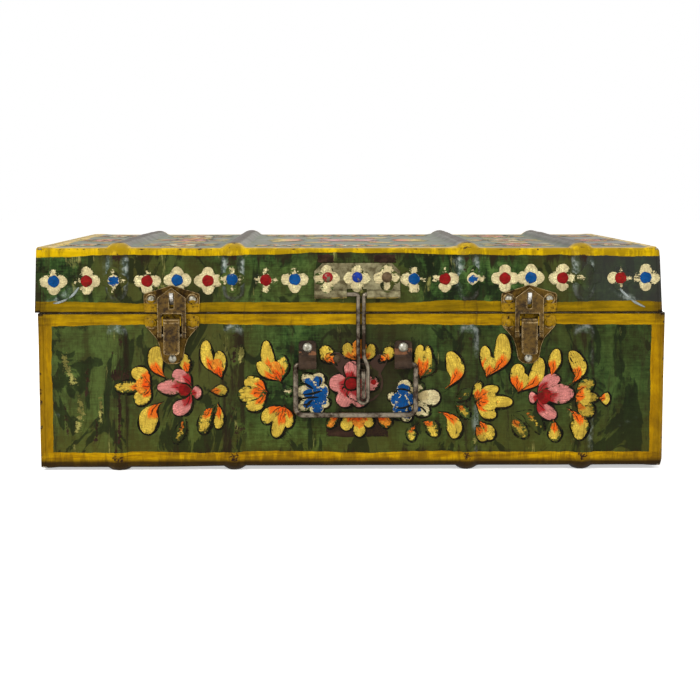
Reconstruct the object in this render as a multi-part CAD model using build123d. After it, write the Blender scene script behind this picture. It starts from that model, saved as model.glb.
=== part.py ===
from build123d import *

import os
from math import sqrt

# Small tin trunk: a body and a lid, each a beaded sheet wrap closed by two end pans, hung on two back
# hinges. The front carries two toggle latches, a wire hasp over a padlock staple, and a wire bail handle.
# +X is to the right of someone facing the front, +Y runs from front to back, +Z is up.
# The origin is at the bottom centre of the whole trunk's box, on the surface that it stands on.

# Trunk shells
trunk_width = 406.0
trunk_depth = 254.0
body_height = 100.4  # outer bottom face to the seam
lid_height = 42.2  # seam to the outer top face
sheet = 0.6  # tin plate
corner_radius = 3.0  # long edges of both wraps
seam_gap = 0.6  # between the two rims
end_flange = 3.4  # how far an end pan folds back over a wrap
end_fold_radius = 0.5

# Pressed beads that ring both shells, and act as feet below
bead_offsets = (76.4, 152.0)  # from the middle, on each side
bead_radius = 10.7
bead_height = 3.6
bead_wear = 0.2  # flat worn on the crests that the trunk stands on
bead_stop_body = 6.0  # from the rim to the tip of a bead
bead_stop_lid = 6.5

# Strip inside the body's mouth, which guides the lid
strip_thickness = 1.5
strip_below = 3.8
strip_above = 6.0
strip_clearance = 0.7  # to the lid's walls

# Rivets: (head radius, head height, shank radius)
hardware_rivet = (2.6, 1.5, 1.3)
hasp_rivet = (3.5, 2.3, 1.6)
strap_rivet = (3.1, 1.6, 1.6)
tail_spread = 0.8  # a tail's radius beyond its shank's
tail_height = 0.8
rivet_fit = 0.05  # radial, shank in its hole

# Back hinges
hinge_offset = 116.0  # each side of the middle
hinge_width = 40.0
leaf_height = 18.0
leaf_thickness = 1.0
hinge_pin_radius = 1.4
hinge_pin_fit = 0.08
hinge_pin_peen = 0.8
knuckle_relief = 0.3  # between a knuckle and the shells
knuckle_gap = 0.2  # end play between knuckles
middle_knuckle = 13.6
hinge_rivet_spread = 13.0
hinge_rivet_drop = 12.0

# Toggle latches: places are from the latch's middle line and the seam, heights from the trunk's face
latch_offset = 116.0
latch_plate = 1.0
catch_half_width = 18.2
catch_shoulder = 11.5
catch_apex = 18.2
catch_rivet_place = (13.3, 8.9)
base_half_width = 17.8
base_shoulder = 7.0
base_foot = 33.2
base_foot_half_width = 5.6
base_rivet_places = ((-13.3, -6.6), (13.3, -6.6), (0.0, -29.8))
hook_half_width = 1.2
hook_root = 5.0  # lower end of the hook's ramp
hook_seat = 13.1  # where the claw's bar bears
hook_reach = 5.4  # its nose, from the face
hook_lip = 0.25  # rise of the nose above the seat
claw_thickness = 1.0
claw_lift = 2.7  # back of the claw, from the face
claw_half_width = 9.2
claw_shoulder = 10.0
claw_apex = 16.8
claw_window_top = -0.3
claw_leg_width = 2.7
slot_half_width = 1.5
slot_low = 3.1
slot_clearance = 0.3  # bar to hook seat
pivot_pin = (-5.0, 4.0)  # the lever's pin: height from the seam, distance from the face
claw_pin = (-14.2, 3.2)  # the claw's pin
latch_pin_radius = 1.0
latch_pin_fit = 0.08  # where a piece turns on its pin
latch_pin_seat = 0.02  # where a pin is fixed
lever_half_width = 5.2
lever_wall = 0.9
lever_barrel = 1.9
lever_web_top = 5.7  # outer face of the web, from the trunk's face
lever_flange_low = 2.0  # inner edge of the flanges, from the trunk's face
lever_flange_end = -19.0
lever_tip = -26.6
lever_tip_rise = 2.2  # how far the finger tab curls out
ear_gap = 0.2
ear_thickness = 0.8
ear_half_height = 3.0
claw_boss = 2.0

# Hasp: a plate rolled round the ends of a wire loop, and a staple for the padlock
hasp_x = 4.2
hasp_half_width = 27.8
hasp_top = 32.4
hasp_chamfer = 5.4
hasp_plate = 1.0
hasp_rivet_spread = 19.2
hasp_rivet_height = 23.2
loop_wire = 2.7
loop_play = 0.3  # radial, wire in the roll
loop_axis_height = 12.2
loop_legs = (4.8, 8.4)  # x of the two legs at the top
loop_foot_legs = (5.0, 11.1)  # and beside the staple
loop_flare = (-28.0, -35.0)
loop_foot = -60.2
loop_end_length = 7.5  # each turned end, beyond the notch
notch = (-2.6, 10.4)  # x range cut out of the roll
notch_top = 15.6
staple_plate_thickness = 0.8
staple_plate_radius = 13.0
staple_plate_centre = (8.05, -46.0)
staple_ears = ((-9.2, -30.0), (19.4, -31.4))  # riveted on the left, empty hole on the right
staple_ear_radius = 4.2
staple_strip = 1.3
staple_width = 2.4
staple_top = -36.8
staple_bottom = -56.2
staple_reach = 10.6
staple_bend = 4.0

# Bail handle
strap_places = (-28.2, 34.2)
strap_width = 11.4
strap_sheet = 1.0
strap_top = -18.0
strap_top_corner = 2.5
strap_rivet_height = -22.4
bail_wire = 3.5
bail_play = 0.35  # radial, wire in the strap
bail_axis_height = -33.6
bail_arms = (-36.0, 42.3)
bail_foot = -66.7
bail_bend = 5.0
bail_end_length = 13.6  # turned end, from the arm's middle

# Derived places
bead_depth = bead_radius - bead_height  # a bead's axis lies this far inside the face
bead_half_width = sqrt(bead_radius**2 - bead_depth**2)
knuckle_radius = hinge_pin_radius + hinge_pin_fit + leaf_thickness
hinge_axis_out = knuckle_radius + knuckle_relief
back_reach = hinge_axis_out + knuckle_radius
front_y = staple_reach - (trunk_depth + staple_reach + back_reach) / 2
back_y = front_y + trunk_depth
middle_y = (front_y + back_y) / 2
bottom_z = bead_height - bead_wear
seam_z = bottom_z + body_height
top_z = seam_z + lid_height
body_rim = seam_z - seam_gap / 2
lid_rim = seam_z + seam_gap / 2
roll_radius = loop_wire / 2 + loop_play + hasp_plate
strap_roll = bail_wire / 2 + bail_play + strap_sheet
far = 2 * trunk_width  # longer than anything that it cuts


def front_frame(x=0.0):
    """Frame on the front face at the seam: X right, Y up, Z out of the face."""
    return Plane(origin=(x, front_y, seam_z), x_dir=(1, 0, 0), z_dir=(0, -1, 0)).location


def back_frame(x=0.0):
    """The same on the back face."""
    return Plane(origin=(x, back_y, seam_z), x_dir=(-1, 0, 0), z_dir=(0, 1, 0)).location


def plate(outline, thickness, lift=0.0):
    """Flat plate in a face's frame, standing on the face or lifted off it."""
    face = make_face(Polyline(*[(x, y) for x, y in outline], close=True))
    return extrude(Pos(0, 0, lift) * face, amount=thickness, dir=(0, 0, 1))


def side_bar(outline, low, high):
    """Bar of constant side profile, given as (height, distance from the face), from x low to x high."""
    face = make_face(Polyline(*[(low, height, out) for height, out in outline], close=True))
    return extrude(face, amount=high - low, dir=(1, 0, 0))


def cross_rod(place, radius, low, high):
    """Cylinder along X at (height, distance from the face)."""
    length = high - low
    return Pos((low + high) / 2, place[0], place[1]) * Rot(0, 90, 0) * Cylinder(radius, length)


def block(x_range, y_range, z_range):
    """Box between pairs of limits."""
    sizes = [high - low for low, high in (x_range, y_range, z_range)]
    middles = [(high + low) / 2 for low, high in (x_range, y_range, z_range)]
    return Pos(*middles) * Box(*sizes)


def rod_between(start, end, radius):
    """Cylinder from one point to another."""
    axis = Vector(*end) - Vector(*start)
    upright = Cylinder(radius, axis.length, align=(Align.CENTER, Align.CENTER, Align.MIN))
    return Plane(origin=start, z_dir=axis).location * upright


def rivet(size, grip, lift=0.0):
    """Snap-head rivet through a grip that ends at the lift: dome outside, spread tail inside."""
    head_radius, head_height, shank_radius = size
    sphere_radius = (head_radius**2 + head_height**2) / (2 * head_height)
    ball = Pos(0, 0, lift + head_height - sphere_radius) * Sphere(sphere_radius)
    dome = ball & block((-far, far), (-far, far), (lift, far))
    shank = Pos(0, 0, lift - grip / 2) * Cylinder(shank_radius, grip)
    tail = Pos(0, 0, lift - grip - tail_height / 2) * Cylinder(shank_radius + tail_spread, tail_height)
    return dome + shank + tail


def rivet_hole(size):
    """Cutter for a rivet's hole through a plate and the sheet behind it."""
    return Cylinder(size[2] + rivet_fit, 8 * (sheet + latch_plate))


def swept_wire(points, radii, wire):
    """Round wire along straight runs joined by bends."""
    path = FilletPolyline(*points, radius=radii)
    start = Plane(origin=path @ 0, z_dir=path % 0)
    return sweep(start * Circle(wire / 2), path=path)


# Shells


def tray_block(base_z, rim_z, inset):
    """Solid block of a shell's shape: rounded long edges at its base, open towards its rim."""
    up = 1 if rim_z > base_z else -1
    base = base_z + up * inset
    solid = block(
        (-trunk_width / 2, trunk_width / 2),
        (front_y + inset, back_y - inset),
        (min(base, rim_z), max(base, rim_z)),
    )
    long_edges = solid.edges().filter_by(Axis.X)
    base_edges = [edge for edge in long_edges if abs(edge.center().Z - base) < sheet / 2]
    return fillet(base_edges, corner_radius - inset)


def bead_core(x, base_z, rim_z, stop, radius):
    """Round bar that runs under a bead: up the front, across the base and up the back."""
    up = 1 if rim_z > base_z else -1
    base = base_z + up * bead_depth
    tip = rim_z - up * (stop + bead_half_width)
    front, back = front_y + bead_depth, back_y - bead_depth
    route = [(x, front, tip), (x, front, base), (x, back, base), (x, back, tip)]
    core = Pos(*route[0]) * Sphere(radius)
    for start, end in zip(route, route[1:]):
        core += rod_between(start, end, radius)
        core += Pos(*end) * Sphere(radius)
    return core


def beaded_wrap(base_z, rim_z, stop, holes):
    """One sheet bent into front, base and back, with its beads pressed outwards and its rivet holes."""
    outer = tray_block(base_z, rim_z, 0.0)
    up = 1 if rim_z > base_z else -1
    inner = tray_block(base_z, rim_z + up * seam_gap, sheet)
    for x in [side * offset for side in (-1, 1) for offset in bead_offsets]:
        outer += bead_core(x, base_z, rim_z, stop, bead_radius)
        inner += bead_core(x, base_z, rim_z, stop, bead_radius - sheet)
    between_ends = block(
        (sheet - trunk_width / 2, trunk_width / 2 - sheet), (-far, far), (0.0, far)
    )
    wrap = (outer - inner) & between_ends
    for hole in holes:
        wrap -= hole
    return wrap


def end_pan(base_z, rim_z, side):
    """End panel whose edge is folded back over the wrap."""
    outside = tray_block(base_z, rim_z, -sheet)
    inside = tray_block(base_z, rim_z, 0.0)
    outer_x, inner_x = trunk_width / 2, trunk_width / 2 - sheet
    rim_x = trunk_width / 2 - end_flange
    keep = block(sorted((side * rim_x, side * outer_x)), (-far, far), (-far, far))
    hollow = block(sorted((side * (rim_x - sheet), side * inner_x)), (-far, far), (-far, far))
    pan = (outside & keep) - (inside & hollow)
    outer_face = pan.faces().sort_by(Axis.X)[-1 if side > 0 else 0]
    folded = [e for e in outer_face.edges() if abs(e.center().Z - rim_z) > sheet / 2]
    return fillet(folded, end_fold_radius)


def mouth_strips():
    """Four strips inside the body's rim that stand up into the lid."""

    def ring(inset, low, high):
        inner = strip_thickness + sheet
        outside = block(
            (inset - trunk_width / 2, trunk_width / 2 - inset),
            (front_y + inset, back_y - inset),
            (low, high),
        )
        inside = block(
            (inner - trunk_width / 2, trunk_width / 2 - inner),
            (front_y + inner, back_y - inner),
            (low, high),
        )
        return outside - inside

    whole = ring(sheet, body_rim - strip_below, body_rim)
    whole += ring(sheet + strip_clearance, body_rim, body_rim + strip_above)
    inner = strip_thickness + sheet
    between = (front_y + inner, back_y - inner)
    slabs = {
        "mouth_strip_front": ((-far, far), (-far, between[0])),
        "mouth_strip_back": ((-far, far), (between[1], far)),
        "mouth_strip_left": ((-far, 0.0), between),
        "mouth_strip_right": ((0.0, far), between),
    }
    return {name: whole & block(x, y, (-far, far)) for name, (x, y) in slabs.items()}


# Back hinges


def hinge_leaf(x, up):
    """Leaf riveted on the back face, upwards on the lid or downwards on the body, with its knuckles."""
    clear = knuckle_radius + 2 * knuckle_relief
    half = hinge_width / 2
    low, high = sorted((up * clear, up * leaf_height))
    leaf = block((-half, half), (low, high), (0.0, leaf_thickness))
    middle = middle_knuckle / 2
    if up > 0:
        knuckles = [(-middle, middle)]
    else:
        knuckles = [(-half, -middle - knuckle_gap), (middle + knuckle_gap, half)]
    for start, end in knuckles:
        leaf += block((start, end), sorted((0.0, up * clear)), (0.0, leaf_thickness))
        leaf += cross_rod((0.0, hinge_axis_out), knuckle_radius, start, end)
    face_side = block((-half, half), sorted((0.0, -up * clear)), (0.0, knuckle_relief))
    leaf -= face_side
    leaf -= cross_rod((0.0, hinge_axis_out), hinge_pin_radius + hinge_pin_fit, -half - 1, half + 1)
    for place in hinge_rivet_places(up):
        leaf -= Pos(*place) * rivet_hole(hardware_rivet)
    return back_frame(x) * leaf


def hinge_rivet_places(up):
    return [(side * hinge_rivet_spread, up * hinge_rivet_drop) for side in (-1, 1)]


def hinge_pin(x):
    """Pin peened over a little at both ends."""
    half = hinge_width / 2
    end = half + hinge_pin_peen
    axis = (0.0, hinge_axis_out)
    pin = cross_rod(axis, hinge_pin_radius, -end, end)
    pin += cross_rod(axis, hinge_pin_radius + 0.5, half, end)
    pin += cross_rod(axis, hinge_pin_radius + 0.5, -end, -half)
    return back_frame(x) * pin


# Toggle latches


def catch_plate(x):
    """Pointed plate on the lid with a pressed-out hook."""
    outline = [
        (-catch_half_width, seam_gap),
        (catch_half_width, seam_gap),
        (catch_half_width, catch_shoulder),
        (0.0, catch_apex),
        (-catch_half_width, catch_shoulder),
    ]
    body = plate(outline, latch_plate)
    nose = hook_seat + hook_lip
    ramp = [
        (hook_root, 0.5 * latch_plate),
        (hook_seat - 2.2, hook_reach),
        (nose, hook_reach),
        (hook_seat, claw_lift + claw_thickness + 0.5),
        (hook_seat, 0.5 * latch_plate),
    ]
    body += side_bar(ramp, -hook_half_width, hook_half_width)
    for side in (-1, 1):
        place = Pos(side * catch_rivet_place[0], catch_rivet_place[1])
        body -= place * rivet_hole(hardware_rivet)
    return front_frame(x) * body


def latch_base(x):
    """Shield-shaped plate on the body with two ears for the lever's pin."""
    outline = [
        (-base_half_width, -seam_gap),
        (base_half_width, -seam_gap),
        (base_half_width, -base_shoulder),
        (base_foot_half_width, -base_foot),
        (-base_foot_half_width, -base_foot),
        (-base_half_width, -base_shoulder),
    ]
    body = plate(outline, latch_plate)
    for side in (-1, 1):
        near = lever_half_width + ear_gap
        low, high = sorted((side * near, side * (near + ear_thickness)))
        top = pivot_pin[1] + latch_pin_radius + ear_thickness
        body += block(
            (low, high),
            (pivot_pin[0] - ear_half_height, pivot_pin[0] + ear_half_height),
            (0.5 * latch_plate, top),
        )
    body -= cross_rod(pivot_pin, latch_pin_radius + latch_pin_seat, -far, far)
    for place in base_rivet_places:
        body -= Pos(*place) * rivet_hole(hardware_rivet)
    corners = [e for e in body.edges().filter_by(Axis.Z) if abs(e.length - latch_plate) < 0.01]
    outer = [e for e in corners if abs(e.center().X) > base_half_width - 0.1 or e.center().Y < 1 - base_foot]
    return front_frame(x) * fillet(outer, base_foot_half_width / 3)


def latch_pivot_pin(x):
    half = lever_half_width + ear_gap + ear_thickness
    return front_frame(x) * cross_rod(pivot_pin, latch_pin_radius, -half, half)


def latch_lever(x):
    """Channel-shaped lever: rolled round its pin at the top, with a finger tab at the foot."""
    height, out = pivot_pin
    web_back = lever_web_top - lever_wall
    web = side_bar(
        [
            (height, web_back),
            (height, lever_web_top),
            (lever_flange_end, lever_web_top),
            (lever_tip + 1.5, lever_web_top + 0.45 * lever_tip_rise),
            (lever_tip, lever_web_top + lever_tip_rise),
            (lever_tip, lever_web_top + lever_tip_rise - lever_wall),
            (lever_tip + 1.8, web_back + 0.4 * lever_tip_rise),
            (lever_flange_end, web_back),
        ],
        -lever_half_width,
        lever_half_width,
    )
    lever = web + cross_rod(pivot_pin, lever_barrel, -lever_half_width, lever_half_width)
    for side in (-1, 1):
        low, high = sorted((side * lever_half_width, side * (lever_half_width - lever_wall)))
        flange = [
            (height, web_back),
            (height, out - lever_barrel + 0.1),
            (claw_pin[0] + 2.5, lever_flange_low - 0.4),
            (claw_pin[0] - 2.5, lever_flange_low - 0.4),
            (lever_flange_end, web_back + 0.3),
        ]
        lever += side_bar(flange, low, high)
    lever -= cross_rod(pivot_pin, latch_pin_radius + latch_pin_fit, -far, far)
    lever -= cross_rod(claw_pin, latch_pin_radius + latch_pin_seat, -far, far)
    return front_frame(x) * lever


def latch_claw_pin(x):
    return front_frame(x) * cross_rod(claw_pin, latch_pin_radius, -claw_half_width, claw_half_width)


def latch_claw(x):
    """Pointed plate with a slot for the hook and two legs that turn on the lever's lower pin."""
    inner = claw_half_width - claw_leg_width
    outline = [
        (-claw_half_width, claw_pin[0]),
        (-inner, claw_pin[0]),
        (-inner, claw_window_top),
        (inner, claw_window_top),
        (inner, claw_pin[0]),
        (claw_half_width, claw_pin[0]),
        (claw_half_width, claw_shoulder),
        (0.0, claw_apex),
        (-claw_half_width, claw_shoulder),
    ]
    claw = plate(outline, claw_thickness, claw_lift)
    slot_top = hook_seat + slot_clearance
    claw -= block((-slot_half_width, slot_half_width), (slot_low, slot_top), (0.0, far))
    for side in (-1, 1):
        low, high = sorted((side * inner, side * claw_half_width))
        claw += cross_rod(claw_pin, claw_boss, low, high)
    claw -= cross_rod(claw_pin, latch_pin_radius + latch_pin_fit, -far, far)
    return front_frame(x) * claw


# Hasp and staple


def hasp_plate_part():
    """Plate on the lid, rolled outwards at its foot round the loop's turned ends."""
    outline = [
        (-hasp_half_width, loop_axis_height),
        (hasp_half_width, loop_axis_height),
        (hasp_half_width, hasp_top - hasp_chamfer),
        (hasp_half_width - hasp_chamfer, hasp_top),
        (hasp_chamfer - hasp_half_width, hasp_top),
        (-hasp_half_width, hasp_top - hasp_chamfer),
    ]
    body = plate(outline, hasp_plate)
    axis = (loop_axis_height, roll_radius)
    body += cross_rod(axis, roll_radius, -hasp_half_width, hasp_half_width)
    body -= cross_rod(axis, roll_radius - hasp_plate, -far, far)
    body -= block(
        (notch[0] - hasp_x, notch[1] - hasp_x),
        (loop_axis_height - far, notch_top),
        (-far, far),
    )
    for place in hasp_rivet_places():
        body -= Pos(*place) * rivet_hole(hasp_rivet)
    return front_frame(hasp_x) * body


def hasp_rivet_places():
    return [(step * hasp_rivet_spread, hasp_rivet_height) for step in (-1, 0, 1)]


def hasp_loop():
    """Hairpin of wire with its two ends turned out into the roll."""
    out = roll_radius
    foot = loop_foot + loop_wire / 2
    bend = loop_wire / 2 + 0.3
    round_foot = (loop_foot_legs[1] - loop_foot_legs[0]) / 2 - 0.01
    points = [
        (notch[0] - loop_end_length, loop_axis_height, out),
        (loop_legs[0], loop_axis_height, out),
        (loop_legs[0], loop_flare[0], out),
        (loop_foot_legs[0], loop_flare[1], out),
        (loop_foot_legs[0], foot, out),
        (loop_foot_legs[1], foot, out),
        (loop_foot_legs[1], loop_flare[1], out),
        (loop_legs[1], loop_flare[0], out),
        (loop_legs[1], loop_axis_height, out),
        (notch[1] + loop_end_length, loop_axis_height, out),
    ]
    gentle = 2 * loop_wire
    radii = [bend, gentle, gentle, round_foot, round_foot, gentle, gentle, bend]
    return front_frame() * swept_wire(points, radii, loop_wire)


def staple_plate():
    """Round plate on the body with two riveting ears; one ear's hole is empty."""
    shape = Pos(*staple_plate_centre) * Circle(staple_plate_radius)
    root = Pos(*staple_plate_centre) * Circle(staple_plate_radius / 2)
    for ear in staple_ears:
        tab = Pos(*ear) * Circle(staple_ear_radius)
        shape += make_hull([*tab.edges(), *root.edges()])
    body = extrude(shape, amount=staple_plate_thickness, dir=(0, 0, 1))
    for ear in staple_ears:
        body -= Pos(*ear) * rivet_hole(hardware_rivet)
    body -= staple_feet(staple_width + 2 * rivet_fit, staple_strip + 2 * rivet_fit)
    return front_frame() * body


def staple_feet(width, thickness):
    """The two straight feet of the staple, which pass through plate and sheet."""
    x = staple_plate_centre[0]
    feet = Part()
    for edge, side in ((staple_top, -1), (staple_bottom, 1)):
        middle = edge + side * staple_strip / 2
        feet += block(
            (x - width / 2, x + width / 2),
            (middle - thickness / 2, middle + thickness / 2),
            (-sheet - tail_height, staple_bend),
        )
    return feet


def staple():
    """Strip bent into a squared eye that stands out through the wire loop."""
    x = staple_plate_centre[0]
    half = staple_width / 2
    outer = block((x - half, x + half), (staple_bottom, staple_top), (staple_plate_thickness, staple_reach))
    nose = [e for e in outer.edges().filter_by(Axis.X) if e.center().Z > staple_reach - 0.1]
    outer = fillet(nose, staple_bend)
    inner = block(
        (x - far, x + far),
        (staple_bottom + staple_strip, staple_top - staple_strip),
        (-far, staple_reach - staple_strip),
    )
    corner = [e for e in inner.edges().filter_by(Axis.X) if e.center().Z > 0]
    inner = fillet(corner, staple_bend - staple_strip)
    eye = (outer - inner) + staple_feet(staple_width, staple_strip)
    return front_frame() * eye


# Bail handle


def handle_strap(x):
    """Folded strap: two layers under a rivet, rolled round the bail's turned end."""
    axis = (bail_axis_height, strap_roll)
    half = strap_width / 2
    strap = block((-half, half), (bail_axis_height, strap_top), (0.0, 2 * strap_sheet))
    top = [e for e in strap.edges().filter_by(Axis.Z) if e.center().Y > strap_top - 0.1]
    strap = fillet(top, strap_top_corner)
    shoulder = [
        (bail_axis_height, 2 * strap_sheet - 0.1),
        (bail_axis_height + strap_roll + 1.6, 2 * strap_sheet - 0.1),
        (bail_axis_height + 0.7 * strap_roll, 1.7 * strap_roll),
        (bail_axis_height, 2 * strap_roll - 0.1),
    ]
    strap += side_bar(shoulder, -half, half)
    strap += cross_rod(axis, strap_roll, -half, half)
    strap -= cross_rod(axis, strap_roll - strap_sheet, -far, far)
    strap -= Pos(0, strap_rivet_height) * rivet_hole(strap_rivet)
    return front_frame(x) * strap


def bail_handle():
    """Wire bail whose two ends turn in through the straps."""
    out = strap_roll
    left, right = bail_arms
    points = [
        (left + bail_end_length, bail_axis_height, out),
        (left, bail_axis_height, out),
        (left, bail_foot, out),
        (right, bail_foot, out),
        (right, bail_axis_height, out),
        (right - bail_end_length, bail_axis_height, out),
    ]
    tight = bail_wire / 2 + 0.4
    return front_frame() * swept_wire(points, [tight, bail_bend, bail_bend, tight], bail_wire)


# Rivet groups


def rivet_group(frames_and_places, size, plate_thickness):
    """Identical rivets, each a solid of its own, through a plate and the sheet behind it."""
    one = rivet(size, plate_thickness + sheet, plate_thickness)
    return Compound(children=[frame * Pos(*place) * one for frame, place in frames_and_places])


def shell_holes(frames_and_places, size):
    return [frame * Pos(*place) * rivet_hole(size) for frame, place in frames_and_places]


sides = {"left": -1, "right": 1}
catch_rivets = [
    (front_frame(side * latch_offset), (across * catch_rivet_place[0], catch_rivet_place[1]))
    for side in sides.values()
    for across in (-1, 1)
]
base_rivets = [
    (front_frame(side * latch_offset), place) for side in sides.values() for place in base_rivet_places
]
strap_rivets = [(front_frame(x), (0.0, strap_rivet_height)) for x in strap_places]
hasp_rivets = [(front_frame(hasp_x), place) for place in hasp_rivet_places()]
staple_rivets = [(front_frame(), staple_ears[0])]
lid_hinge_rivets = [
    (back_frame(side * hinge_offset), place) for side in sides.values() for place in hinge_rivet_places(1)
]
body_hinge_rivets = [
    (back_frame(side * hinge_offset), place) for side in sides.values() for place in hinge_rivet_places(-1)
]

body_holes = (
    shell_holes(base_rivets, hardware_rivet)
    + shell_holes(staple_rivets, hardware_rivet)
    + shell_holes(strap_rivets, strap_rivet)
    + shell_holes(body_hinge_rivets, hardware_rivet)
    + [front_frame() * staple_feet(staple_width + 2 * rivet_fit, staple_strip + 2 * rivet_fit)]
)
lid_holes = (
    shell_holes(catch_rivets, hardware_rivet)
    + shell_holes(hasp_rivets, hasp_rivet)
    + shell_holes(lid_hinge_rivets, hardware_rivet)
)

nodes = {
    "body_wrap": beaded_wrap(bottom_z, body_rim, bead_stop_body, body_holes),
    "lid_wrap": beaded_wrap(top_z, lid_rim, bead_stop_lid, lid_holes),
    **mouth_strips(),
    "hasp_plate": hasp_plate_part(),
    "hasp_loop": hasp_loop(),
    "hasp_rivets": rivet_group(hasp_rivets, hasp_rivet, hasp_plate),
    "staple_plate": staple_plate(),
    "padlock_staple": staple(),
    "staple_plate_rivet": rivet_group(staple_rivets, hardware_rivet, staple_plate_thickness),
    "bail_handle": bail_handle(),
    "handle_strap_rivets": rivet_group(strap_rivets, strap_rivet, 2 * strap_sheet),
    "latch_catch_rivets": rivet_group(catch_rivets, hardware_rivet, latch_plate),
    "latch_base_rivets": rivet_group(base_rivets, hardware_rivet, latch_plate),
    "lid_hinge_rivets": rivet_group(lid_hinge_rivets, hardware_rivet, leaf_thickness),
    "body_hinge_rivets": rivet_group(body_hinge_rivets, hardware_rivet, leaf_thickness),
}
for name, side in sides.items():
    nodes[f"body_end_{name}"] = end_pan(bottom_z, body_rim, side)
    nodes[f"lid_end_{name}"] = end_pan(top_z, lid_rim, side)
    nodes[f"hinge_leaf_lid_{name}"] = hinge_leaf(side * hinge_offset, 1)
    nodes[f"hinge_leaf_body_{name}"] = hinge_leaf(side * hinge_offset, -1)
    nodes[f"hinge_pin_{name}"] = hinge_pin(side * hinge_offset)
    nodes[f"latch_catch_{name}"] = catch_plate(side * latch_offset)
    nodes[f"latch_base_{name}"] = latch_base(side * latch_offset)
    nodes[f"latch_pivot_pin_{name}"] = latch_pivot_pin(side * latch_offset)
    nodes[f"latch_lever_{name}"] = latch_lever(side * latch_offset)
    nodes[f"latch_claw_pin_{name}"] = latch_claw_pin(side * latch_offset)
    nodes[f"latch_claw_{name}"] = latch_claw(side * latch_offset)
for name, x in zip(sides, strap_places):
    nodes[f"handle_strap_{name}"] = handle_strap(x)

os.makedirs("parts", exist_ok=True)
for name, shape in nodes.items():
    export_step(shape, f"parts/{name}.step")
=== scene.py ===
import math
from functools import partial

import bmesh
import bpy
from mathutils import Matrix, Vector, noise
from mathutils.bvhtree import BVHTree


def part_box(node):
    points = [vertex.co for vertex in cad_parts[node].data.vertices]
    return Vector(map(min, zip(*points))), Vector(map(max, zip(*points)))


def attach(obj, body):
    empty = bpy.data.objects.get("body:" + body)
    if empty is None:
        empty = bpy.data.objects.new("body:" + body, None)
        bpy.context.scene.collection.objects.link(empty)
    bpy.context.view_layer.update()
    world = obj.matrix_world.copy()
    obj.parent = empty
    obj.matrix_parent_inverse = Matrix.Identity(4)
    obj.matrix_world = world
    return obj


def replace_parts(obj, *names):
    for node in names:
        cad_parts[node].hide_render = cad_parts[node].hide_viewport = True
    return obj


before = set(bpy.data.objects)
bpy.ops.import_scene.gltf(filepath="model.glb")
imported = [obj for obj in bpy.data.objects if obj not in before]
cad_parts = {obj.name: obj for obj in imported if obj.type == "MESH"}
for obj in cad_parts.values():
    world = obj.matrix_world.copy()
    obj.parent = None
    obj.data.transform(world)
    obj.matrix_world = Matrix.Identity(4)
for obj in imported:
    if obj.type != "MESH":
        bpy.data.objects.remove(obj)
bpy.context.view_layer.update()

mm = 0.001

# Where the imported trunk's faces are
sheet = 0.6 * mm
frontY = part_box("handle_strap_left")[1].y
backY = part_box("hinge_leaf_body_left")[0].y
middleY = (frontY + backY) / 2
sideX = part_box("body_end_right")[1].x
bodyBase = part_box("body_end_left")[0].z + sheet
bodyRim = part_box("body_wrap")[1].z
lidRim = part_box("lid_wrap")[0].z
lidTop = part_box("lid_end_left")[1].z - sheet
seamZ = (bodyRim + lidRim) / 2
beadPlaces = [side * offset * mm for side in (-1, 1) for offset in (76.4, 152.0)]
bothSides = ("left", "right")


def linearColour(value):
    # an sRGB hex text made linear; any other value stays
    if not isinstance(value, str):
        return value
    levels = [int(value[i : i + 2], 16) / 255 for i in (1, 3, 5)]
    linear = [v / 12.92 if v <= 0.04045 else ((v + 0.055) / 1.055) ** 2.4 for v in levels]
    return (*linear, 1.0)


def addNode(tree, kind, *values, named=None, ramp=(), out=None, **settings):
    # "Math ADD" is a Math node set to ADD; values go, in order, to the sockets that the node then shows
    kind, _, mode = kind.partition(" ")
    if mode:
        settings["data_type" if kind == "Mix" else "operation"] = mode
    node = tree.nodes.new("ShaderNode" + kind)
    for name, value in settings.items():
        setattr(node, name, value)
    inputs = list(zip([s for s in node.inputs if s.enabled], values))
    inputs += [(node.inputs[name], value) for name, value in (named or {}).items()]
    for socket, value in inputs:
        if isinstance(value, bpy.types.NodeSocket):
            tree.links.new(value, socket)
        else:
            socket.default_value = linearColour(value)
    if ramp:
        stops = node.color_ramp.elements
        while len(stops) < len(ramp):
            stops.new(0.5)
        for stop, (place, colour) in zip(stops, ramp):
            stop.position = place
            stop.color = linearColour(colour)
    return node.outputs[out] if out else next((s for s in node.outputs if s.enabled), None)


def perMetre(size):
    # a pattern's scale, from the real size of its marks in mm
    return 1 / (size * mm)


def addNoises(tree, place, table):
    # a noise for each row: size of its marks (mm), detail, roughness, twist, stretch, shift
    noises = []
    for size, detail, rough, twist, stretch, shift in table.values():
        moved = addNode(tree, "Mapping", place, (shift, shift, 0), (0, 0, 0), stretch)
        noises.append(addNode(tree, "TexNoise", moved, perMetre(size), detail, rough, 2, twist))
    return noises


def newMaterial(name):
    material = bpy.data.materials.new(name)
    material.use_nodes = True
    material.node_tree.nodes.clear()
    return material, material.node_tree


def smoothStep(low, high, value):
    t = min(1.0, max(0.0, (value - low) / (high - low)))
    return t * t * (3 - 2 * t)


def finishObject(name, bm, materials, carrier=None):
    mesh = bpy.data.meshes.new(name)
    bm.to_mesh(mesh)
    bm.free()
    for material in materials:
        mesh.materials.append(material)
    piece = bpy.data.objects.new(name, mesh)
    bpy.context.scene.collection.objects.link(piece)
    if carrier:
        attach(piece, carrier)
    return piece


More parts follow.
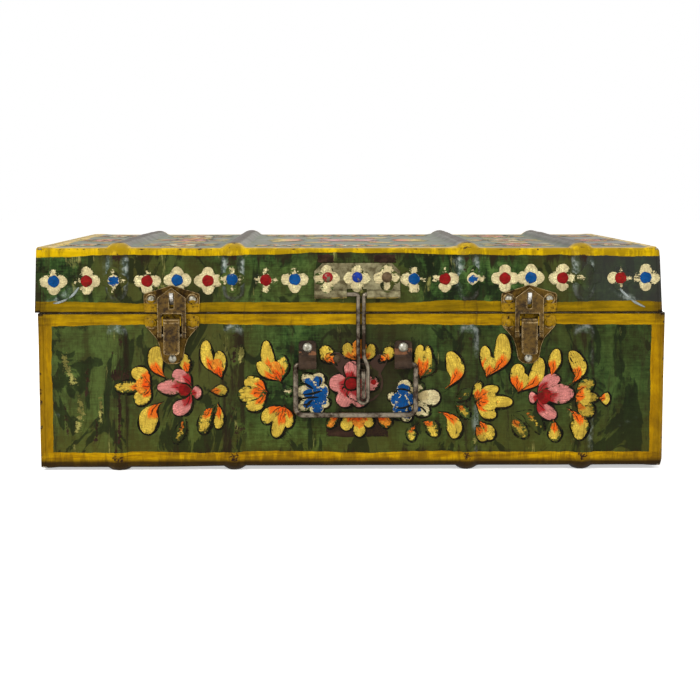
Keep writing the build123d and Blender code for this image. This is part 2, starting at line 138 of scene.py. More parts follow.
# Camera, light and floor
print("stage: camera, light and floor")
cameraSet = {
    "place": (-15.85, -971.9, 185.1),  # mm from the body's bottom front edge
    "pitch": 6.40,  # degrees down
    "yaw": 0.905,
    "lens": 77.14,
    "sensor": 36,
}
lightSet = {
    "sky": 0.55,
    "floorGlow": 0.52,
    "softboxLeft": {"place": (-1.1, -1.5, 1.5), "size": 1.1, "watts": 34},
    "softboxRight": {"place": (1.4, -1.3, 1.0), "size": 1.0, "watts": 13},
    "softboxTop": {"place": (0.0, 0.4, 2.2), "size": 1.4, "watts": 18},
}
camera = bpy.data.objects.new("camera", bpy.data.cameras.new("camera"))
bpy.context.scene.collection.objects.link(camera)
camera.location = Vector((0, frontY, bodyBase)) + Vector(cameraSet["place"]) * mm
camera.rotation_euler = (math.radians(90 - cameraSet["pitch"]), 0, -math.radians(cameraSet["yaw"]))
camera.data.lens = cameraSet["lens"]
camera.data.sensor_width = cameraSet["sensor"]
camera.data.clip_end = 50
bpy.context.scene.camera = camera
bpy.context.scene.view_settings.view_transform = "Standard"


def shownShare(tree):
    # 1 for rays that show a surface, straight, mirrored or through something
    rays = addNode(tree, "LightPath").node.outputs
    share = addNode(tree, "Math MAXIMUM", rays["Is Camera Ray"], rays["Is Glossy Ray"])
    return addNode(tree, "Math MAXIMUM", share, rays["Is Transmission Ray"])


world = bpy.data.worlds.new("studio")
world.use_nodes = True
bpy.context.scene.world = world
sky = world.node_tree
sky.nodes.clear()
strength = addNode(sky, "MapRange", shownShare(sky), 0, 1, lightSet["sky"], 1)
addNode(sky, "OutputWorld", addNode(sky, "Background", (1, 1, 1, 1), strength))
for name in ("softboxLeft", "softboxRight", "softboxTop"):
    values = lightSet[name]
    lamp = bpy.data.lights.new(name, "AREA")
    lamp.shape = "SQUARE"
    lamp.size = values["size"]
    lamp.energy = values["watts"]
    holder = bpy.data.objects.new(name, lamp)
    bpy.context.scene.collection.objects.link(holder)
    holder.location = values["place"]
    holder.rotation_euler = (-Vector(values["place"])).to_track_quat("-Z", "Y").to_euler()

paleFloor, tree = newMaterial("paleStudioFloor")  # matt painted board
matt = addNode(tree, "BsdfDiffuse", "#f4f3f1")
lift = addNode(tree, "Math MULTIPLY", shownShare(tree), lightSet["floorGlow"])
glow = addNode(tree, "Emission", (1, 1, 1, 1), lift)
addNode(tree, "OutputMaterial", addNode(tree, "AddShader", matt, glow))
floorMesh = bmesh.new()
bmesh.ops.create_grid(floorMesh, x_segments=4, y_segments=4, size=6.0)
bmesh.ops.translate(floorMesh, verts=floorMesh.verts, vec=(0, 0, -0.05 * mm))
finishObject("floor", floorMesh, [paleFloor])


# Enamel: gloss oil paint brushed on tinplate, yellowed varnish over it, chipped to browned tin
print("stage: paint")
shellMarks = ("grime", "edgeWear", "polish", "seam")  # what a shell's mesh tells its paint
everyWay = (1, 1, 1)
enamelSet = {
    "greens": ("#141b0b", "#2b401b", "#465f2c"),
    "olive": "#3e3c18",
    "brushMark": "#11170a",
    # tints over the body's green: axis, where it starts and where it is full (mm), strength, colour
    "fades": [(0, -40, -160, 0.4, "#4a4a22"), (0, -70, 60, 0.3, "#15190b"), (2, 46, 14, 0.4, "#4f4a17")],
    "umber": "#21160d",
    "scuff": "#8f8a4c",
    # pale grey-green of the painted highlight on the beads and creases
    "highlightTints": ("#5d7468", "#a3aaa2"),
    "rightEndDark": "#2d2e2a",
    "bareTin": "#2a1a13",
    "yellows": ("#5a3b00", "#956e00", "#bc9100"),
    # the high one is lighter, a painted highlight along the lid's top edge
    "greenerYellows": ("#766600", "#ccb000"),  # low and high on the lid
    "dirtyShadedYellow": "#3c2708",
    # colour of the painted shade, with dirt, at the foot and along the rim
    "foot": "#1a1007",
    "gloss": 0.05,  # dulled by age, so it reflects less than new paint
    "dust": (0.0, 0.32),  # on upright faces and on the top
    "dustTint": "#fbf7ec",
    "relief": 0.12 * mm,
    "noises": {
        "cloudy": (76.92, 3, 0.5, 0, everyWay, 0),
        "patchy": (18.18, 8, 0.7, 0.5, everyWay, 0),
        "brushed": (25, 4, 0.55, 2.2, (1, 1, 0.55), 0.7),  # brush marks
        "streaks": (6.667, 8, 0.75, 0, (1, 1, 0.13), 0.3),  # hanging down
        "blotch": (23.81, 8, 0.75, 0.8, (1, 1, 0.2), 0.1),
        "chips": (4, 6, 0.7, 0, everyWay, 0),
        "wiped": (0.9091, 4, 0.7, 0, (0.06, 0.06, 1), 0.2),  # level lines
        "along": (2.381, 6, 0.7, 0, (0.1, 0.1, 1), 0.4),  # level lines in the bands
        "grain": (1, 2, 0.5, 0, everyWay, 0),
    },
}
# where the yellow bands run: lowest and highest level, widths at the bottom, top, sides and top's edges, how
# much narrower the top one gets in the middle, the height of painted shade and dirt at the foot, how dark the
# right end gets, how much lighter the yellow is high up and low down (painted light and shade), and whether
# the green changes from left to right
groundLimits = {
    "body": {
        "zLow": bodyBase, "zHigh": bodyRim, "bandLow": 9 * mm, "bandHigh": 7.9 * mm, "bandSide": 7.6 * mm,
        "bandTop": 0, "dip": 0, "foot": 4.3 * mm, "rightEndDark": 0, "toneHigh": 0, "toneLow": 0.035, "fade": 1,
    },
    "lid": {
        "zLow": lidRim, "zHigh": lidTop, "bandLow": 7.4 * mm, "bandHigh": 5.7 * mm, "bandSide": -5 * mm,
        "bandTop": 9 * mm, "dip": 2 * mm, "foot": 0, "rightEndDark": 0.8, "toneHigh": 0.12, "toneLow": -0.07,
        "fade": 0,
    },
}


def makeGround():
    tree = bpy.data.node_groups.new("agedEnamelGround", "ShaderNodeTree")
    add = partial(addNode, tree)
    sockets = [(name, "INPUT", "Float") for name in groundLimits["body"]]
    sockets += [("Color", "OUTPUT", "Color")]
    sockets += [(name, "OUTPUT", "Float") for name in ("Roughness", "Height")]
    for name, way, kind in sockets:
        tree.interface.new_socket(name, in_out=way, socket_type="NodeSocket" + kind)
    given = tree.nodes.new("NodeGroupInput").outputs
    result = tree.nodes.new("NodeGroupOutput").inputs
    place = add("TexCoord", out="Object")
    xyz = add("SeparateXYZ", place).node.outputs
    x, y, z = xyz
    grime, edgeWear, polish, seam = [add("Attribute", attribute_name=name, out="Fac") for name in shellMarks]
    noises = addNoises(tree, place, enamelSet["noises"])
    cloudy, patchy, brushed, streaks, blotch, chips, wiped, along, grain = noises

    mixed = add("Math MULTIPLY_ADD", streaks, 0.35, add("Math MULTIPLY", patchy, 0.35))
    mixed = add("Math MULTIPLY_ADD", chips, 0.15, add("Math MULTIPLY_ADD", wiped, 0.15, mixed))
    green = add("ValToRGB", mixed, ramp=list(zip((0.44, 0.495, 0.56), enamelSet["greens"])))
    green = add("Mix RGBA", add("MapRange", cloudy, 0.45, 0.68, 0, 0.8), green, enamelSet["olive"])
    for axis, start, end, most, tint in enamelSet["fades"]:
        share = add("MapRange", xyz[axis], start * mm, end * mm, 0, most)
        green = add("Mix RGBA", add("Math MULTIPLY", share, given["fade"]), green, tint)
    # darker green laid on in curved brush marks
    green = add("Mix RGBA", add("MapRange", brushed, 0.54, 0.575, 0, 0.75), green, enamelSet["brushMark"])
    # darker round the lock
    fromLock = add("VectorMath DISTANCE", place, (8 * mm, frontY, seamZ - 40 * mm))
    lockDarkening = add("Math MULTIPLY_ADD", patchy, -70 * mm, fromLock)
    lockDarkening = add("Math MULTIPLY", add("MapRange", lockDarkening, -22 * mm, 14 * mm, 0.8, 0), given["fade"])
    # stains and grime, with the painted shade of the folds and the beads' flanks: darker umber
    dirtAndShade = add("Math MULTIPLY_ADD", blotch, 0.7, add("Math MULTIPLY_ADD", grime, 0.24, streaks))
    dirtAndShade = add("MapRange", dirtAndShade, 0.93, 1.06, 0, 0.85)
    green = add("Mix RGBA", add("Math MAXIMUM", dirtAndShade, lockDarkening), green, enamelSet["umber"])
    scuffed = add("MapRange", add("Math MULTIPLY_ADD", grime, 0.1, patchy), 0.52, 0.6, 0, 1)
    scuffed = add("Math MULTIPLY", add("MapRange", streaks, 0.4, 0.34, 0, 0.7), scuffed)
    green = add("Mix RGBA", scuffed, green, enamelSet["scuff"])
    # darker towards the lid's right end
    rightEndShare = add("MapRange", add("Math MULTIPLY_ADD", patchy, 60 * mm, x), 168 * mm, 190 * mm, 0, 1)
    green = add("Mix RGBA", add("Math MULTIPLY", rightEndShare, given["rightEndDark"]), green, enamelSet["rightEndDark"])
    # painted highlight on the beads and along the creases, broken up by flecks
    fleck = add("MapRange", add("Math ADD", chips, streaks), 0.92, 1.08, 0.2, 1)
    highlighted = add("Math MULTIPLY", add("MapRange", polish, 0.1, 0.9, 0, 0.9), fleck)
    highlightColour = add("Mix RGBA", add("MapRange", chips, 0.45, 0.6, 0, 1), *enamelSet["highlightTints"])
    green = add("Mix RGBA", highlighted, green, highlightColour)

    # yellow bands along the folds
    ragged = add("Math MULTIPLY", chips, 0.7 * mm)
    ragged = add("Math MULTIPLY_ADD", add("Math SUBTRACT", patchy, 0.5), 2.6 * mm, ragged)
    ragged = add("Math MULTIPLY_ADD", add("Math SUBTRACT", cloudy, 0.5), 5 * mm, ragged)
    fromX = add("Math SUBTRACT", sideX, add("Math ABSOLUTE", add("Math SUBTRACT", x, 0.5 * mm)))
    fromY = add("Math ABSOLUTE", add("Math SUBTRACT", y, middleY))
    fromY = add("Math SUBTRACT", (backY - frontY) / 2, fromY)
    above = add("Math SUBTRACT", z, given["zLow"])
    below = add("Math SUBTRACT", given["zHigh"], z)
    nearest = (fromX, fromY, add("Math MINIMUM", above, below))
    onX, onY, onZ = [add("Math LESS_THAN", distance, 1.4 * mm) for distance in nearest]
    dipShare = add("Math ABSOLUTE", add("Math SUBTRACT", x, 15 * mm))
    dipShare = add("MapRange", dipShare, 45 * mm, 110 * mm, 1, 0)
    lowered = add("Math MULTIPLY_ADD", dipShare, given["dip"], below)

    def within(distance, name):
        return add("Math LESS_THAN", add("Math ADD", distance, ragged), given[name])

    level = add("Math MAXIMUM", within(above, "bandLow"), within(lowered, "bandHigh"))
    frontBand = add("Math MULTIPLY", onY, add("Math MAXIMUM", within(fromX, "bandSide"), level))
    endBand = add("Math MULTIPLY", onX, add("Math MAXIMUM", within(fromY, "bandSide"), level))
    topBand = add("Math MULTIPLY", onZ, within(add("Math MINIMUM", fromX, fromY), "bandTop"))
    band = add("Math MAXIMUM", add("Math MAXIMUM", frontBand, endBand), topBand)
    tone = add("Math MULTIPLY_ADD", add("Math SUBTRACT", along, streaks), level, streaks)
    tone = add("Math MULTIPLY_ADD", patchy, 0.4, add("Math MULTIPLY", tone, 0.6))
    # painted light and shade: the yellow lighter or darker with its height below the top
    tone = add("Math ADD", tone, add("MapRange", below, 0, 30 * mm, given["toneHigh"], given["toneLow"]))
    yellow = add("ValToRGB", tone, ramp=list(zip((0.36, 0.5, 0.62), enamelSet["yellows"])))
    # painted highlight: the lid's yellow lighter towards its top edge
    onLid = add("MapRange", z, lidTop - 14 * mm, lidTop - 4 * mm, 0, 1)
    greener = add("Mix RGBA", onLid, *enamelSet["greenerYellows"])
    yellow = add("Mix RGBA", add("MapRange", z, seamZ - 14 * mm, seamZ + 2 * mm, 0, 0.42), yellow, greener)
    # dirt and painted shade darken the yellow too
    yellow = add("Mix RGBA", add("Math MULTIPLY", dirtAndShade, 0.6), yellow, enamelSet["dirtyShadedYellow"])
    paint = add("Mix RGBA", band, green, yellow)
    # painted shade mixed with dirt at the foot, and painted shade with grime along the rim
    foot = add("Math SUBTRACT", add("Math MULTIPLY_ADD", patchy, 1.5 * mm, given["foot"]), above)
    foot = add("MapRange", foot, 0.3 * mm, 3 * mm, 0, 0.9)
    joint = add("MapRange", add("Math MULTIPLY_ADD", streaks, 0.5, seam), 0.75, 1, 0, 0.9)
    paint = add("Mix RGBA", add("Math MAXIMUM", foot, joint), paint, enamelSet["foot"])

    # chips to browned tin: by the wear attribute, and a few by themselves
    lost = add("MapRange", add("Math MULTIPLY_ADD", edgeWear, 0.34, chips), 0.69, 0.72, 0, 1)
    lost = add("Math MAXIMUM", lost, add("MapRange", blotch, 0.66, 0.675, 0, 0.85))
    rusted = add("Math MULTIPLY", lost, add("MapRange", grain, 0.4, 0.55, 0.6, 1))
    paint = add("Mix RGBA", rusted, paint, enamelSet["bareTin"])

    height = add("Math MULTIPLY_ADD", streaks, 0.35, add("Math MULTIPLY", band, 0.25))
    height = add("Math MULTIPLY_ADD", grain, 0.12, add("Math MULTIPLY_ADD", wiped, 0.15, height))
    rough = add("Math MULTIPLY_ADD", lost, 0.2, add("MapRange", patchy, 0.3, 0.7, 0.3, 0.52))
    tree.links.new(paint, result["Color"])
    tree.links.new(rough, result["Roughness"])
    tree.links.new(add("Math MULTIPLY_ADD", lost, -0.5, height), result["Height"])
    return tree


groundGroup = makeGround()


def addGround(tree, carrier):
    group = tree.nodes.new("ShaderNodeGroup")
    group.node_tree = groundGroup
    for name, value in groundLimits[carrier].items():
        group.inputs[name].default_value = value
    return group.outputs


def finishEnamel(tree, ground, colour, height, relief):
    facing = addNode(tree, "SeparateXYZ", addNode(tree, "TexCoord", out="Normal"), out="Z")
    bump = addNode(tree, "Bump", named={"Height": height, "Strength": 0.5, "Distance": relief})
    shader = addNode(tree, "BsdfPrincipled", named={
        "Base Color": colour, "Roughness": ground["Roughness"], "Normal": bump, "IOR": 1.5,
        "Specular IOR Level": enamelSet["gloss"], "Sheen Roughness": 0.35,
        "Sheen Weight": addNode(tree, "MapRange", facing, 0.3, 0.9, *enamelSet["dust"]),
        "Sheen Tint": enamelSet["dustTint"],
    })
    addNode(tree, "OutputMaterial", shader)


def enamelMaterial(carrier):
    material, tree = newMaterial(f"handPaintedTin_{carrier}")
    ground = addGround(tree, carrier)
    finishEnamel(tree, ground, ground["Color"], ground["Height"], enamelSet["relief"])
    return material


# Flower paints: thicker oil colour in one stroke, main colour running to a second colour at the tip
flowerPaints = {
    "amber": ("#c6a63c", "#dd5a10"),
    "ochre": ("#a58a30", "#bb5a14"),
    "orange": ("#cf7a24", "#d84a0c"),
    "pink": ("#c0766f", "#98141c"),
    "crimson": ("#7e0f12", "#640c10"),
    "cobalt": ("#00427a", "#002a52"),
    "cream": ("#c8b88a", "#ae9c6c"),
    "ink": ("#080905", "#080905"),
    "bare": ("#2f1e17", "#241710"),
    # painted highlight along a crease: pale grey
    "creaseHighlight": ("#8f9794", "#6f7874"),
    "scuff": ("#8c8648", "#6a6532"),
}
flowerSet = {
    "veined": ("amber", "ochre", "pink", "orange"),
    # ink veins drawn from the tip, one down the middle and a shorter one to each side: place, reach, width
    "veins": ((0.0, 0.62, 0.06), (0.45, 0.46, 0.05), (-0.5, 0.42, 0.05)),
    "veinInk": "#18120a",
    "crackle": "#3a2f14",
    "cells": 1.613,  # mm between cracks, coarser than real ones so that they show
    "relief": 0.08 * mm,
    "noises": {
        "cloud": (5.882, 3, 0.5, 0, everyWay, 0),
        "chips": (2.381, 6, 0.75, 0, everyWay, 0),
        "wiped": (1, 3, 0.7, 0, (0.08, 0.08, 1), 0),  # level lines
    },
}
strokeMarks = ("along", "across", "second", "worn", "inset")  # what a stroke's mesh tells its paint


def flowerMaterial(paint, carrier):
    main, second = (linearColour(c) for c in flowerPaints[paint])
    pale, deep = [(*[min(0.8, c * k) for c in main[:3]], 1) for k in (1.5, 0.3)]
    material, tree = newMaterial(f"flowerPaint_{paint}_{carrier}")
    add = partial(addNode, tree)
    ground = addGround(tree, carrier)
    place = add("TexCoord", out="Object")
    cloud, chips, wiped = addNoises(tree, place, flowerSet["noises"])
    cells = add("TexVoronoi", place, perMetre(flowerSet["cells"]), feature="DISTANCE_TO_EDGE")
    marks = [add("Attribute", attribute_name=name, out="Fac") for name in strokeMarks]
    along, across, toSecond, worn, inset = marks
    bristles = add("CombineXYZ", add("Math MULTIPLY", across, 6), along, worn)
    bristles = add("TexNoise", bristles, 1.5, 5, 0.7)  # marks along the stroke
    stroke = add("MapRange", add("Math MULTIPLY_ADD", bristles, 1.3, toSecond), 0.72, 0.95, 0, 1)
    light = add("MapRange", add("Math MULTIPLY_ADD", bristles, 0.6, cloud), 0.78, 0.98, 0, 0.85)
    dull = add("MapRange", add("Math MULTIPLY_ADD", bristles, 0.8, cloud), 0.86, 0.68, 0, 0.42)
    colour = add("Mix RGBA", stroke, add("Mix RGBA", light, main, pale), second)
    colour = add("Mix RGBA", dull, colour, deep)
    thin = add("MapRange", bristles, 0.48, 0.36, 0, 1)
    thin = add("Math MULTIPLY_ADD", thin, 0.6, add("MapRange", chips, 0.34, 0.55, 0.45, 0))
    colour = add("Mix RGBA", thin, colour, deep)
    crackle = add("MapRange", cells, 0.09, 0.03, 0, 1)
    crackle = add("Math MULTIPLY", crackle, add("MapRange", cloud, 0.4, 0.6, 0.1, 0.5))
    colour = add("Mix RGBA", crackle, colour, flowerSet["crackle"])
    # what is kept of the stroke: its middle outlasts its edge
    kept = add("Math MULTIPLY_ADD", inset, 0.32, add("Math MULTIPLY_ADD", wiped, 0.45, chips))
    kept = add("Math GREATER_THAN", kept, add("Math MULTIPLY_ADD", worn, 0.45, 0.62))
    for offset, reach, width in flowerSet["veins"] if paint in flowerSet["veined"] else ():
        wavy = add("Math SUBTRACT", add("Math MULTIPLY_ADD", cloud, 0.9, across), 0.45 + offset)
        vein = add("Math LESS_THAN", add("Math ABSOLUTE", wavy), width)
        near = add("Math LESS_THAN", add("Math MULTIPLY_ADD", chips, 0.3, along), reach)
        vein = add("Math MULTIPLY", add("Math MULTIPLY", vein, near), 0.85)
        colour = add("Mix RGBA", vein, colour, flowerSet["veinInk"])
    under = flowerPaints["cream"][0] if paint == "cobalt" else ground["Color"]
    height = add("Math MULTIPLY_ADD", chips, 0.4, add("Math MULTIPLY_ADD", bristles, 0.6, kept))
    finishEnamel(tree, ground, add("Mix RGBA", kept, under, colour), height, flowerSet["relief"])
    return material


# Shells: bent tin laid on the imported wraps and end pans, then dented
print("stage: shells")
shellSet = {
    "cornerRadius": 3.0 * mm,
    "softCorner": 4.0 * mm,
    "leanLeft": 1.8 * mm,  # the lid is narrower at its top
    "leanRight": 2.8 * mm,
    "spread": {"body": (0, 3.0 * mm), "lid": (1.9 * mm, 1.2 * mm)},  # how far left and right ends bow out
    "spreadReach": 15 * mm,
    "sag": (0.8 * mm, 0.7 * mm),  # how far the base hangs down, and how much more at the left
    "panLip": 3.4 * mm,  # how far an end's lip reaches over the wrap
    "panRadius": 1.0 * mm,
    "panGrid": 4.0 * mm,
    "panelGrid": 2.6 * mm,
    "baseGrid": 7.0 * mm,
    "beadGrid": 1.35 * mm,
    "beadReach": 9.5 * mm,
    "dent": 0.9 * mm,
    "ripple": 0.35 * mm,
    "search": (12 * mm, 1.2 * mm),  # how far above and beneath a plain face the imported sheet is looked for
}
# places that carry hardware stay flat: (x, height from the seam, half width, half height), mm
flatPlaces = {
    "front": [(-116, -8, 20, 27), (116, -8, 20, 27), (4, 21, 30, 13), (3, -43, 44, 28)],
    "back": [(-116, 0, 22, 20), (116, 0, 22, 20)],
}
# creases in the front: start and end (x, height from the seam), depth, width, mm
creases = [
    ((173, 15), (192, 3), 0.9, 2.2),
    ((-197, 5), (-174, 19), 0.8, 2.6),
    ((-201, -61), (-178, -75), 0.7, 2.2),
    ((198, -64), (170, -79), 0.6, 2.4),
    ((84, -70), (96, -92), 0.4, 3.0),
]


def cutPlaces(low, high, step, fineZones=(), fineStep=None):
    places, at = [], low
    while at < high:
        fine = any(start <= at <= end for start, end in fineZones)
        at += fineStep if fine else step
        places.append(at)
    return [p for p in places if p < high - 0.3 * mm]


def sliceAlong(bm, axis, places):
    normal = Vector([1.0 if i == axis else 0.0 for i in range(3)])
    for place in places:
        everything = bm.verts[:] + bm.edges[:] + bm.faces[:]
        bmesh.ops.bisect_plane(bm, geom=everything, dist=1e-6, plane_co=normal * place, plane_no=normal)


def openBox(low, high, openSides, radius):
    bm = bmesh.new()
    bmesh.ops.create_cube(bm, size=1.0)
    low, high = Vector(low), Vector(high)
    bmesh.ops.scale(bm, verts=bm.verts, vec=high - low)
    bmesh.ops.translate(bm, verts=bm.verts, vec=(low + high) / 2)
    bm.normal_update()
    gone = [f for f in bm.faces if any(f.normal.dot(Vector(side)) > 0.9 for side in openSides)]
    bmesh.ops.delete(bm, geom=gone, context="FACES")
    folds = [e for e in bm.edges if len(e.link_faces) == 2]
    bmesh.ops.bevel(bm, geom=folds, offset=radius, offset_type="OFFSET", segments=4, profile=0.5,
                    affect="EDGES", material=-1)
    return bm


def meshTree(mesh):
    return BVHTree.FromPolygons([v.co for v in mesh.vertices], [p.vertices for p in mesh.polygons])


def flatness(point):
    face = "front" if point.y < middleY else "back"
    nearest = 1.0
    for x, height, halfWidth, halfHeight in flatPlaces[face]:
        outX = abs(point.x / mm - x) - halfWidth
        outZ = abs((point.z - seamZ) / mm - height) - halfHeight
        nearest = min(nearest, smoothStep(0, 14, max(outX, outZ)))
    return nearest


def creaseDepth(point):
    if point.y > frontY + 4 * mm:
        return 0.0
    here = Vector((point.x, point.z - seamZ)) / mm
    depth = 0.0
    for start, end, deep, width in creases:
        start, end = Vector(start), Vector(end)
        along = end - start
        share = min(1.0, max(0.0, (here - start).dot(along) / along.length_squared))
        away = (here - start - share * along).length
        depth += deep * math.exp(-((away / width) ** 2)) * (1 - 0.5 * abs(2 * share - 1))
    return depth * mm


def dentDepth(point):
    slow = noise.noise(point * 17 + Vector((3, 1, 7)))
    quick = noise.noise(point * 48 + Vector((9, 5, 2)))
    deep = shellSet["dent"] * max(0.0, slow) + shellSet["ripple"] * quick
    return deep * flatness(point) + creaseDepth(point)


def coreOf(point, low, high, radius, openSides):
    # the point's core inside the rounded box, level with it where the box is open
    core = Vector([min(max(point[i], low[i] + radius), high[i] - radius) for i in range(3)])
    for side in openSides:
        axis = max(range(3), key=lambda i: abs(side[i]))
        if (point[axis] - (low[axis] + high[axis]) / 2) * side[axis] > 0:
            core[axis] = point[axis]
    return core


def spreadEnd(x, carrier):
    share = smoothStep(sideX - shellSet["spreadReach"], sideX, abs(x))
    left, right = shellSet["spread"][carrier]
    return share * (right if x > 0 else -left)


def wearShadeAndHighlightOf(point, up, raised, toEdges):
    # how far the paint has gone at folds, the pan's edge, the beads' crests and their noses; also grime with
    # painted shade, painted highlights on the beads and creases, and painted shade along the rim
    toSide, toFace, toBase, toRim, toFold = toEdges
    crest = smoothStep(2.3 * mm, 3.5 * mm, raised)
    flank = 1 - abs(2 * min(1.0, max(0.0, raised) / (3.6 * mm)) - 1)
    nose = 1 - smoothStep(0, 16 * mm, toBase)
    fold = 1 - smoothStep(0.4 * mm, 2.2 * mm, max(toFace, toBase))
    panEdge = 1 - smoothStep(1.0 * mm, 2.4 * mm, max(toFace, toSide))
    topEdge = 1 - smoothStep(0.4 * mm, 1.6 * mm, max(toBase, toSide))
    edgeWear = max(0.5 * fold, 0.4 * panEdge, 0.35 * topEdge, crest * nose, 0.3 * crest)
    inFold = 1 - smoothStep(0, 16 * mm, toFold)
    # grime, and painted shade darkening the folds and the beads' flanks
    grime = max(0.9 * inFold, 0.8 * flank, 0.5 * crest, 1.2 * nose * (flank + crest))
    # painted shade with grime along the rim
    seam = 1 - smoothStep(0, 1.5 * mm, toRim)
    # painted highlight down the beads' flanks on the lid, and along its creases
    if up < 0:
        shine = smoothStep(3 * mm, 9 * mm, toBase) * (1 - 0.75 * smoothStep(14 * mm, 30 * mm, toBase))
        return grime, edgeWear, max(flank * shine, 0.8 * creaseDepth(point) / mm), seam
    # painted highlight: pale where each bead runs out below the rim, fainter down its right flank
    beadAt = min(beadPlaces, key=lambda place: abs(point.x - place))
    flankShare = 0.8 if point.x > beadAt and point.x > 0 else 0.12
    shine = max(1 - smoothStep(8 * mm, 17 * mm, toRim), flankShare)
    shine *= 0.5 + noise.noise(Vector((beadAt * 90, point.z * 60, 3.7 if point.x > beadAt else 8.1)))
    head = smoothStep(0.3 * mm, 1.2 * mm, raised) * (1 - smoothStep(8.5 * mm, 15 * mm, toRim))
    head *= 0.55 + 0.9 * noise.noise(point * 110)
    return grime, edgeWear, max(flank * shine, 0.3 * creaseDepth(point) / mm, head), seam


def shellPiece(name, node, carrier, low, high, openSides, radius, cuts, material):
    bm = openBox(low, high, openSides, radius)
    for axis, places in cuts.items():
        sliceAlong(bm, axis, places)
    target = meshTree(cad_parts[node].data)
    layers = [bm.verts.layers.float.new(name) for name in shellMarks]
    up = 1 if carrier == "body" else -1
    isWrap = node.endswith("wrap")
    low, high = Vector(low), Vector(high)
    for vert in bm.verts:
        point = vert.co.copy()
        outward = point - coreOf(point, low, high, radius, openSides)
        if outward.length < 1e-7:
            continue
        outward.normalize()
        above, beneath = shellSet["search"]
        hit = target.ray_cast(point + above * outward, -outward, above + beneath)
        raised = 0.0
        if hit[0]:
            raised = (hit[0] - point).dot(outward)
            vert.co = hit[0]
        if abs(point.x) > sideX - 6 * mm:
            soft = shellSet["softCorner"] - (sheet if isWrap else 0)
            inner = coreOf(vert.co, low, high, soft, [(0, 0, up)] + ([] if isWrap else openSides))
            if (vert.co - inner).length > soft:
                vert.co = inner + soft * (vert.co - inner).normalized()

        # the pan's lip and the wrap are beaten level with each other
        toSide = sideX - abs(point.x)
        if isWrap:
            beaten = smoothStep(12 * mm, 4 * mm, toSide) * smoothStep(2 * mm, 3.2 * mm, toSide)
            vert.co += outward * 0.55 * mm * beaten
        else:
            vert.co -= outward * 0.15 * mm * smoothStep(2 * mm, 3.4 * mm, toSide)
        toFace = min(point.y - low.y, high.y - point.y)
        toBase = point.z - low.z if up > 0 else high.z - point.z
        toRim = high.z - point.z if up > 0 else point.z - low.z
        toFold = sorted((toSide, toFace, toBase))[1]
        hold = smoothStep(0, 9 * mm, min(toFold, toSide + 2 * mm))
        vert.co -= outward * dentDepth(point) * max(hold, 0.15) * smoothStep(0, 6 * mm, toRim)
        if up < 0:
            lean = shellSet["leanRight"] if point.x > 0 else shellSet["leanLeft"]
            share = smoothStep(0, 1, abs(point.x) / sideX) * min(1.0, toRim / (high.z - low.z))
            vert.co.x *= 1 - lean / sideX * share
        vert.co.x += spreadEnd(point.x, carrier)
        if up > 0:
            sag, sagLeft = shellSet["sag"]
            sag += sagLeft * smoothStep(-60 * mm, -130 * mm, point.x)
            vert.co.z -= sag * smoothStep(24 * mm, 2 * mm, toBase)
        vert.co.z = max(vert.co.z, 0)
        toEdges = (toSide, toFace, toBase, toRim, toFold)
        for layer, value in zip(layers, wearShadeAndHighlightOf(point, up, raised, toEdges)):
            vert[layer] = value
    for face in bm.faces:
        face.smooth = True
    shell = finishObject(name, bm, [material], carrier)
    shell.data.set_sharp_from_angle(angle=math.radians(50))
    thick = shell.modifiers.new("sheet", "SOLIDIFY")
    thick.thickness = sheet
    thick.offset = -1
    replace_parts(shell, node)
    return shell


beadZones = [(x - shellSet["beadReach"], x + shellSet["beadReach"]) for x in beadPlaces]
endZones = [(-sideX, -sideX + 12 * mm), (sideX - 12 * mm, sideX)]
columns = cutPlaces(-sideX, sideX, 2 * shellSet["panelGrid"], beadZones + endZones, shellSet["beadGrid"])
flankZones = [(frontY, frontY + 12 * mm), (backY - 12 * mm, backY)]
rows = cutPlaces(frontY, backY, shellSet["baseGrid"], flankZones, 2 * mm)
bodyZones = [(bodyBase, bodyBase + 12 * mm), (bodyRim - 18 * mm, bodyRim)]
bodyLevels = cutPlaces(bodyBase, bodyRim, shellSet["panelGrid"], bodyZones, 1.6 * mm)
lidZones = [(lidRim, lidRim + 18 * mm), (lidTop - 12 * mm, lidTop)]
lidLevels = cutPlaces(lidRim, lidTop, shellSet["panelGrid"], lidZones, 1.6 * mm)
panX = cutPlaces(sideX - shellSet["panLip"], sideX, 1.1 * mm)
panY = cutPlaces(frontY, backY, shellSet["panGrid"])
enamel = {carrier: enamelMaterial(carrier) for carrier in ("body", "lid")}
wrapX = sideX - sheet
shells = {}
walls = {"body": (bodyBase, bodyRim, bodyLevels), "lid": (lidTop, lidRim, lidLevels)}
for carrier, (base, rim, levels) in walls.items():
    up = 1 if rim > base else -1
    low, high = min(base, rim), max(base, rim)
    shells[carrier] = [shellPiece(
        f"{carrier}Shell", f"{carrier}_wrap", carrier, (-wrapX, frontY, low), (wrapX, backY, high),
        [(1, 0, 0), (-1, 0, 0), (0, 0, up)], shellSet["cornerRadius"],
        {0: columns, 1: rows, 2: levels}, enamel[carrier],
    )]
    for side, sign in (("left", -1), ("right", 1)):
        ends = sorted((sign * (sideX - shellSet["panLip"]), sign * sideX))
        baseOut = base - up * sheet
        shells[carrier].append(shellPiece(
            f"{carrier}End_{side}", f"{carrier}_end_{side}", carrier,
            (ends[0], frontY - sheet, min(baseOut, rim)), (ends[1], backY + sheet, max(baseOut, rim)),
            [(-sign, 0, 0), (0, 0, up)], shellSet["panRadius"],
            {0: [sign * x for x in panX], 1: panY, 2: cutPlaces(low, high, shellSet["panGrid"])},
            enamel[carrier],
        ))


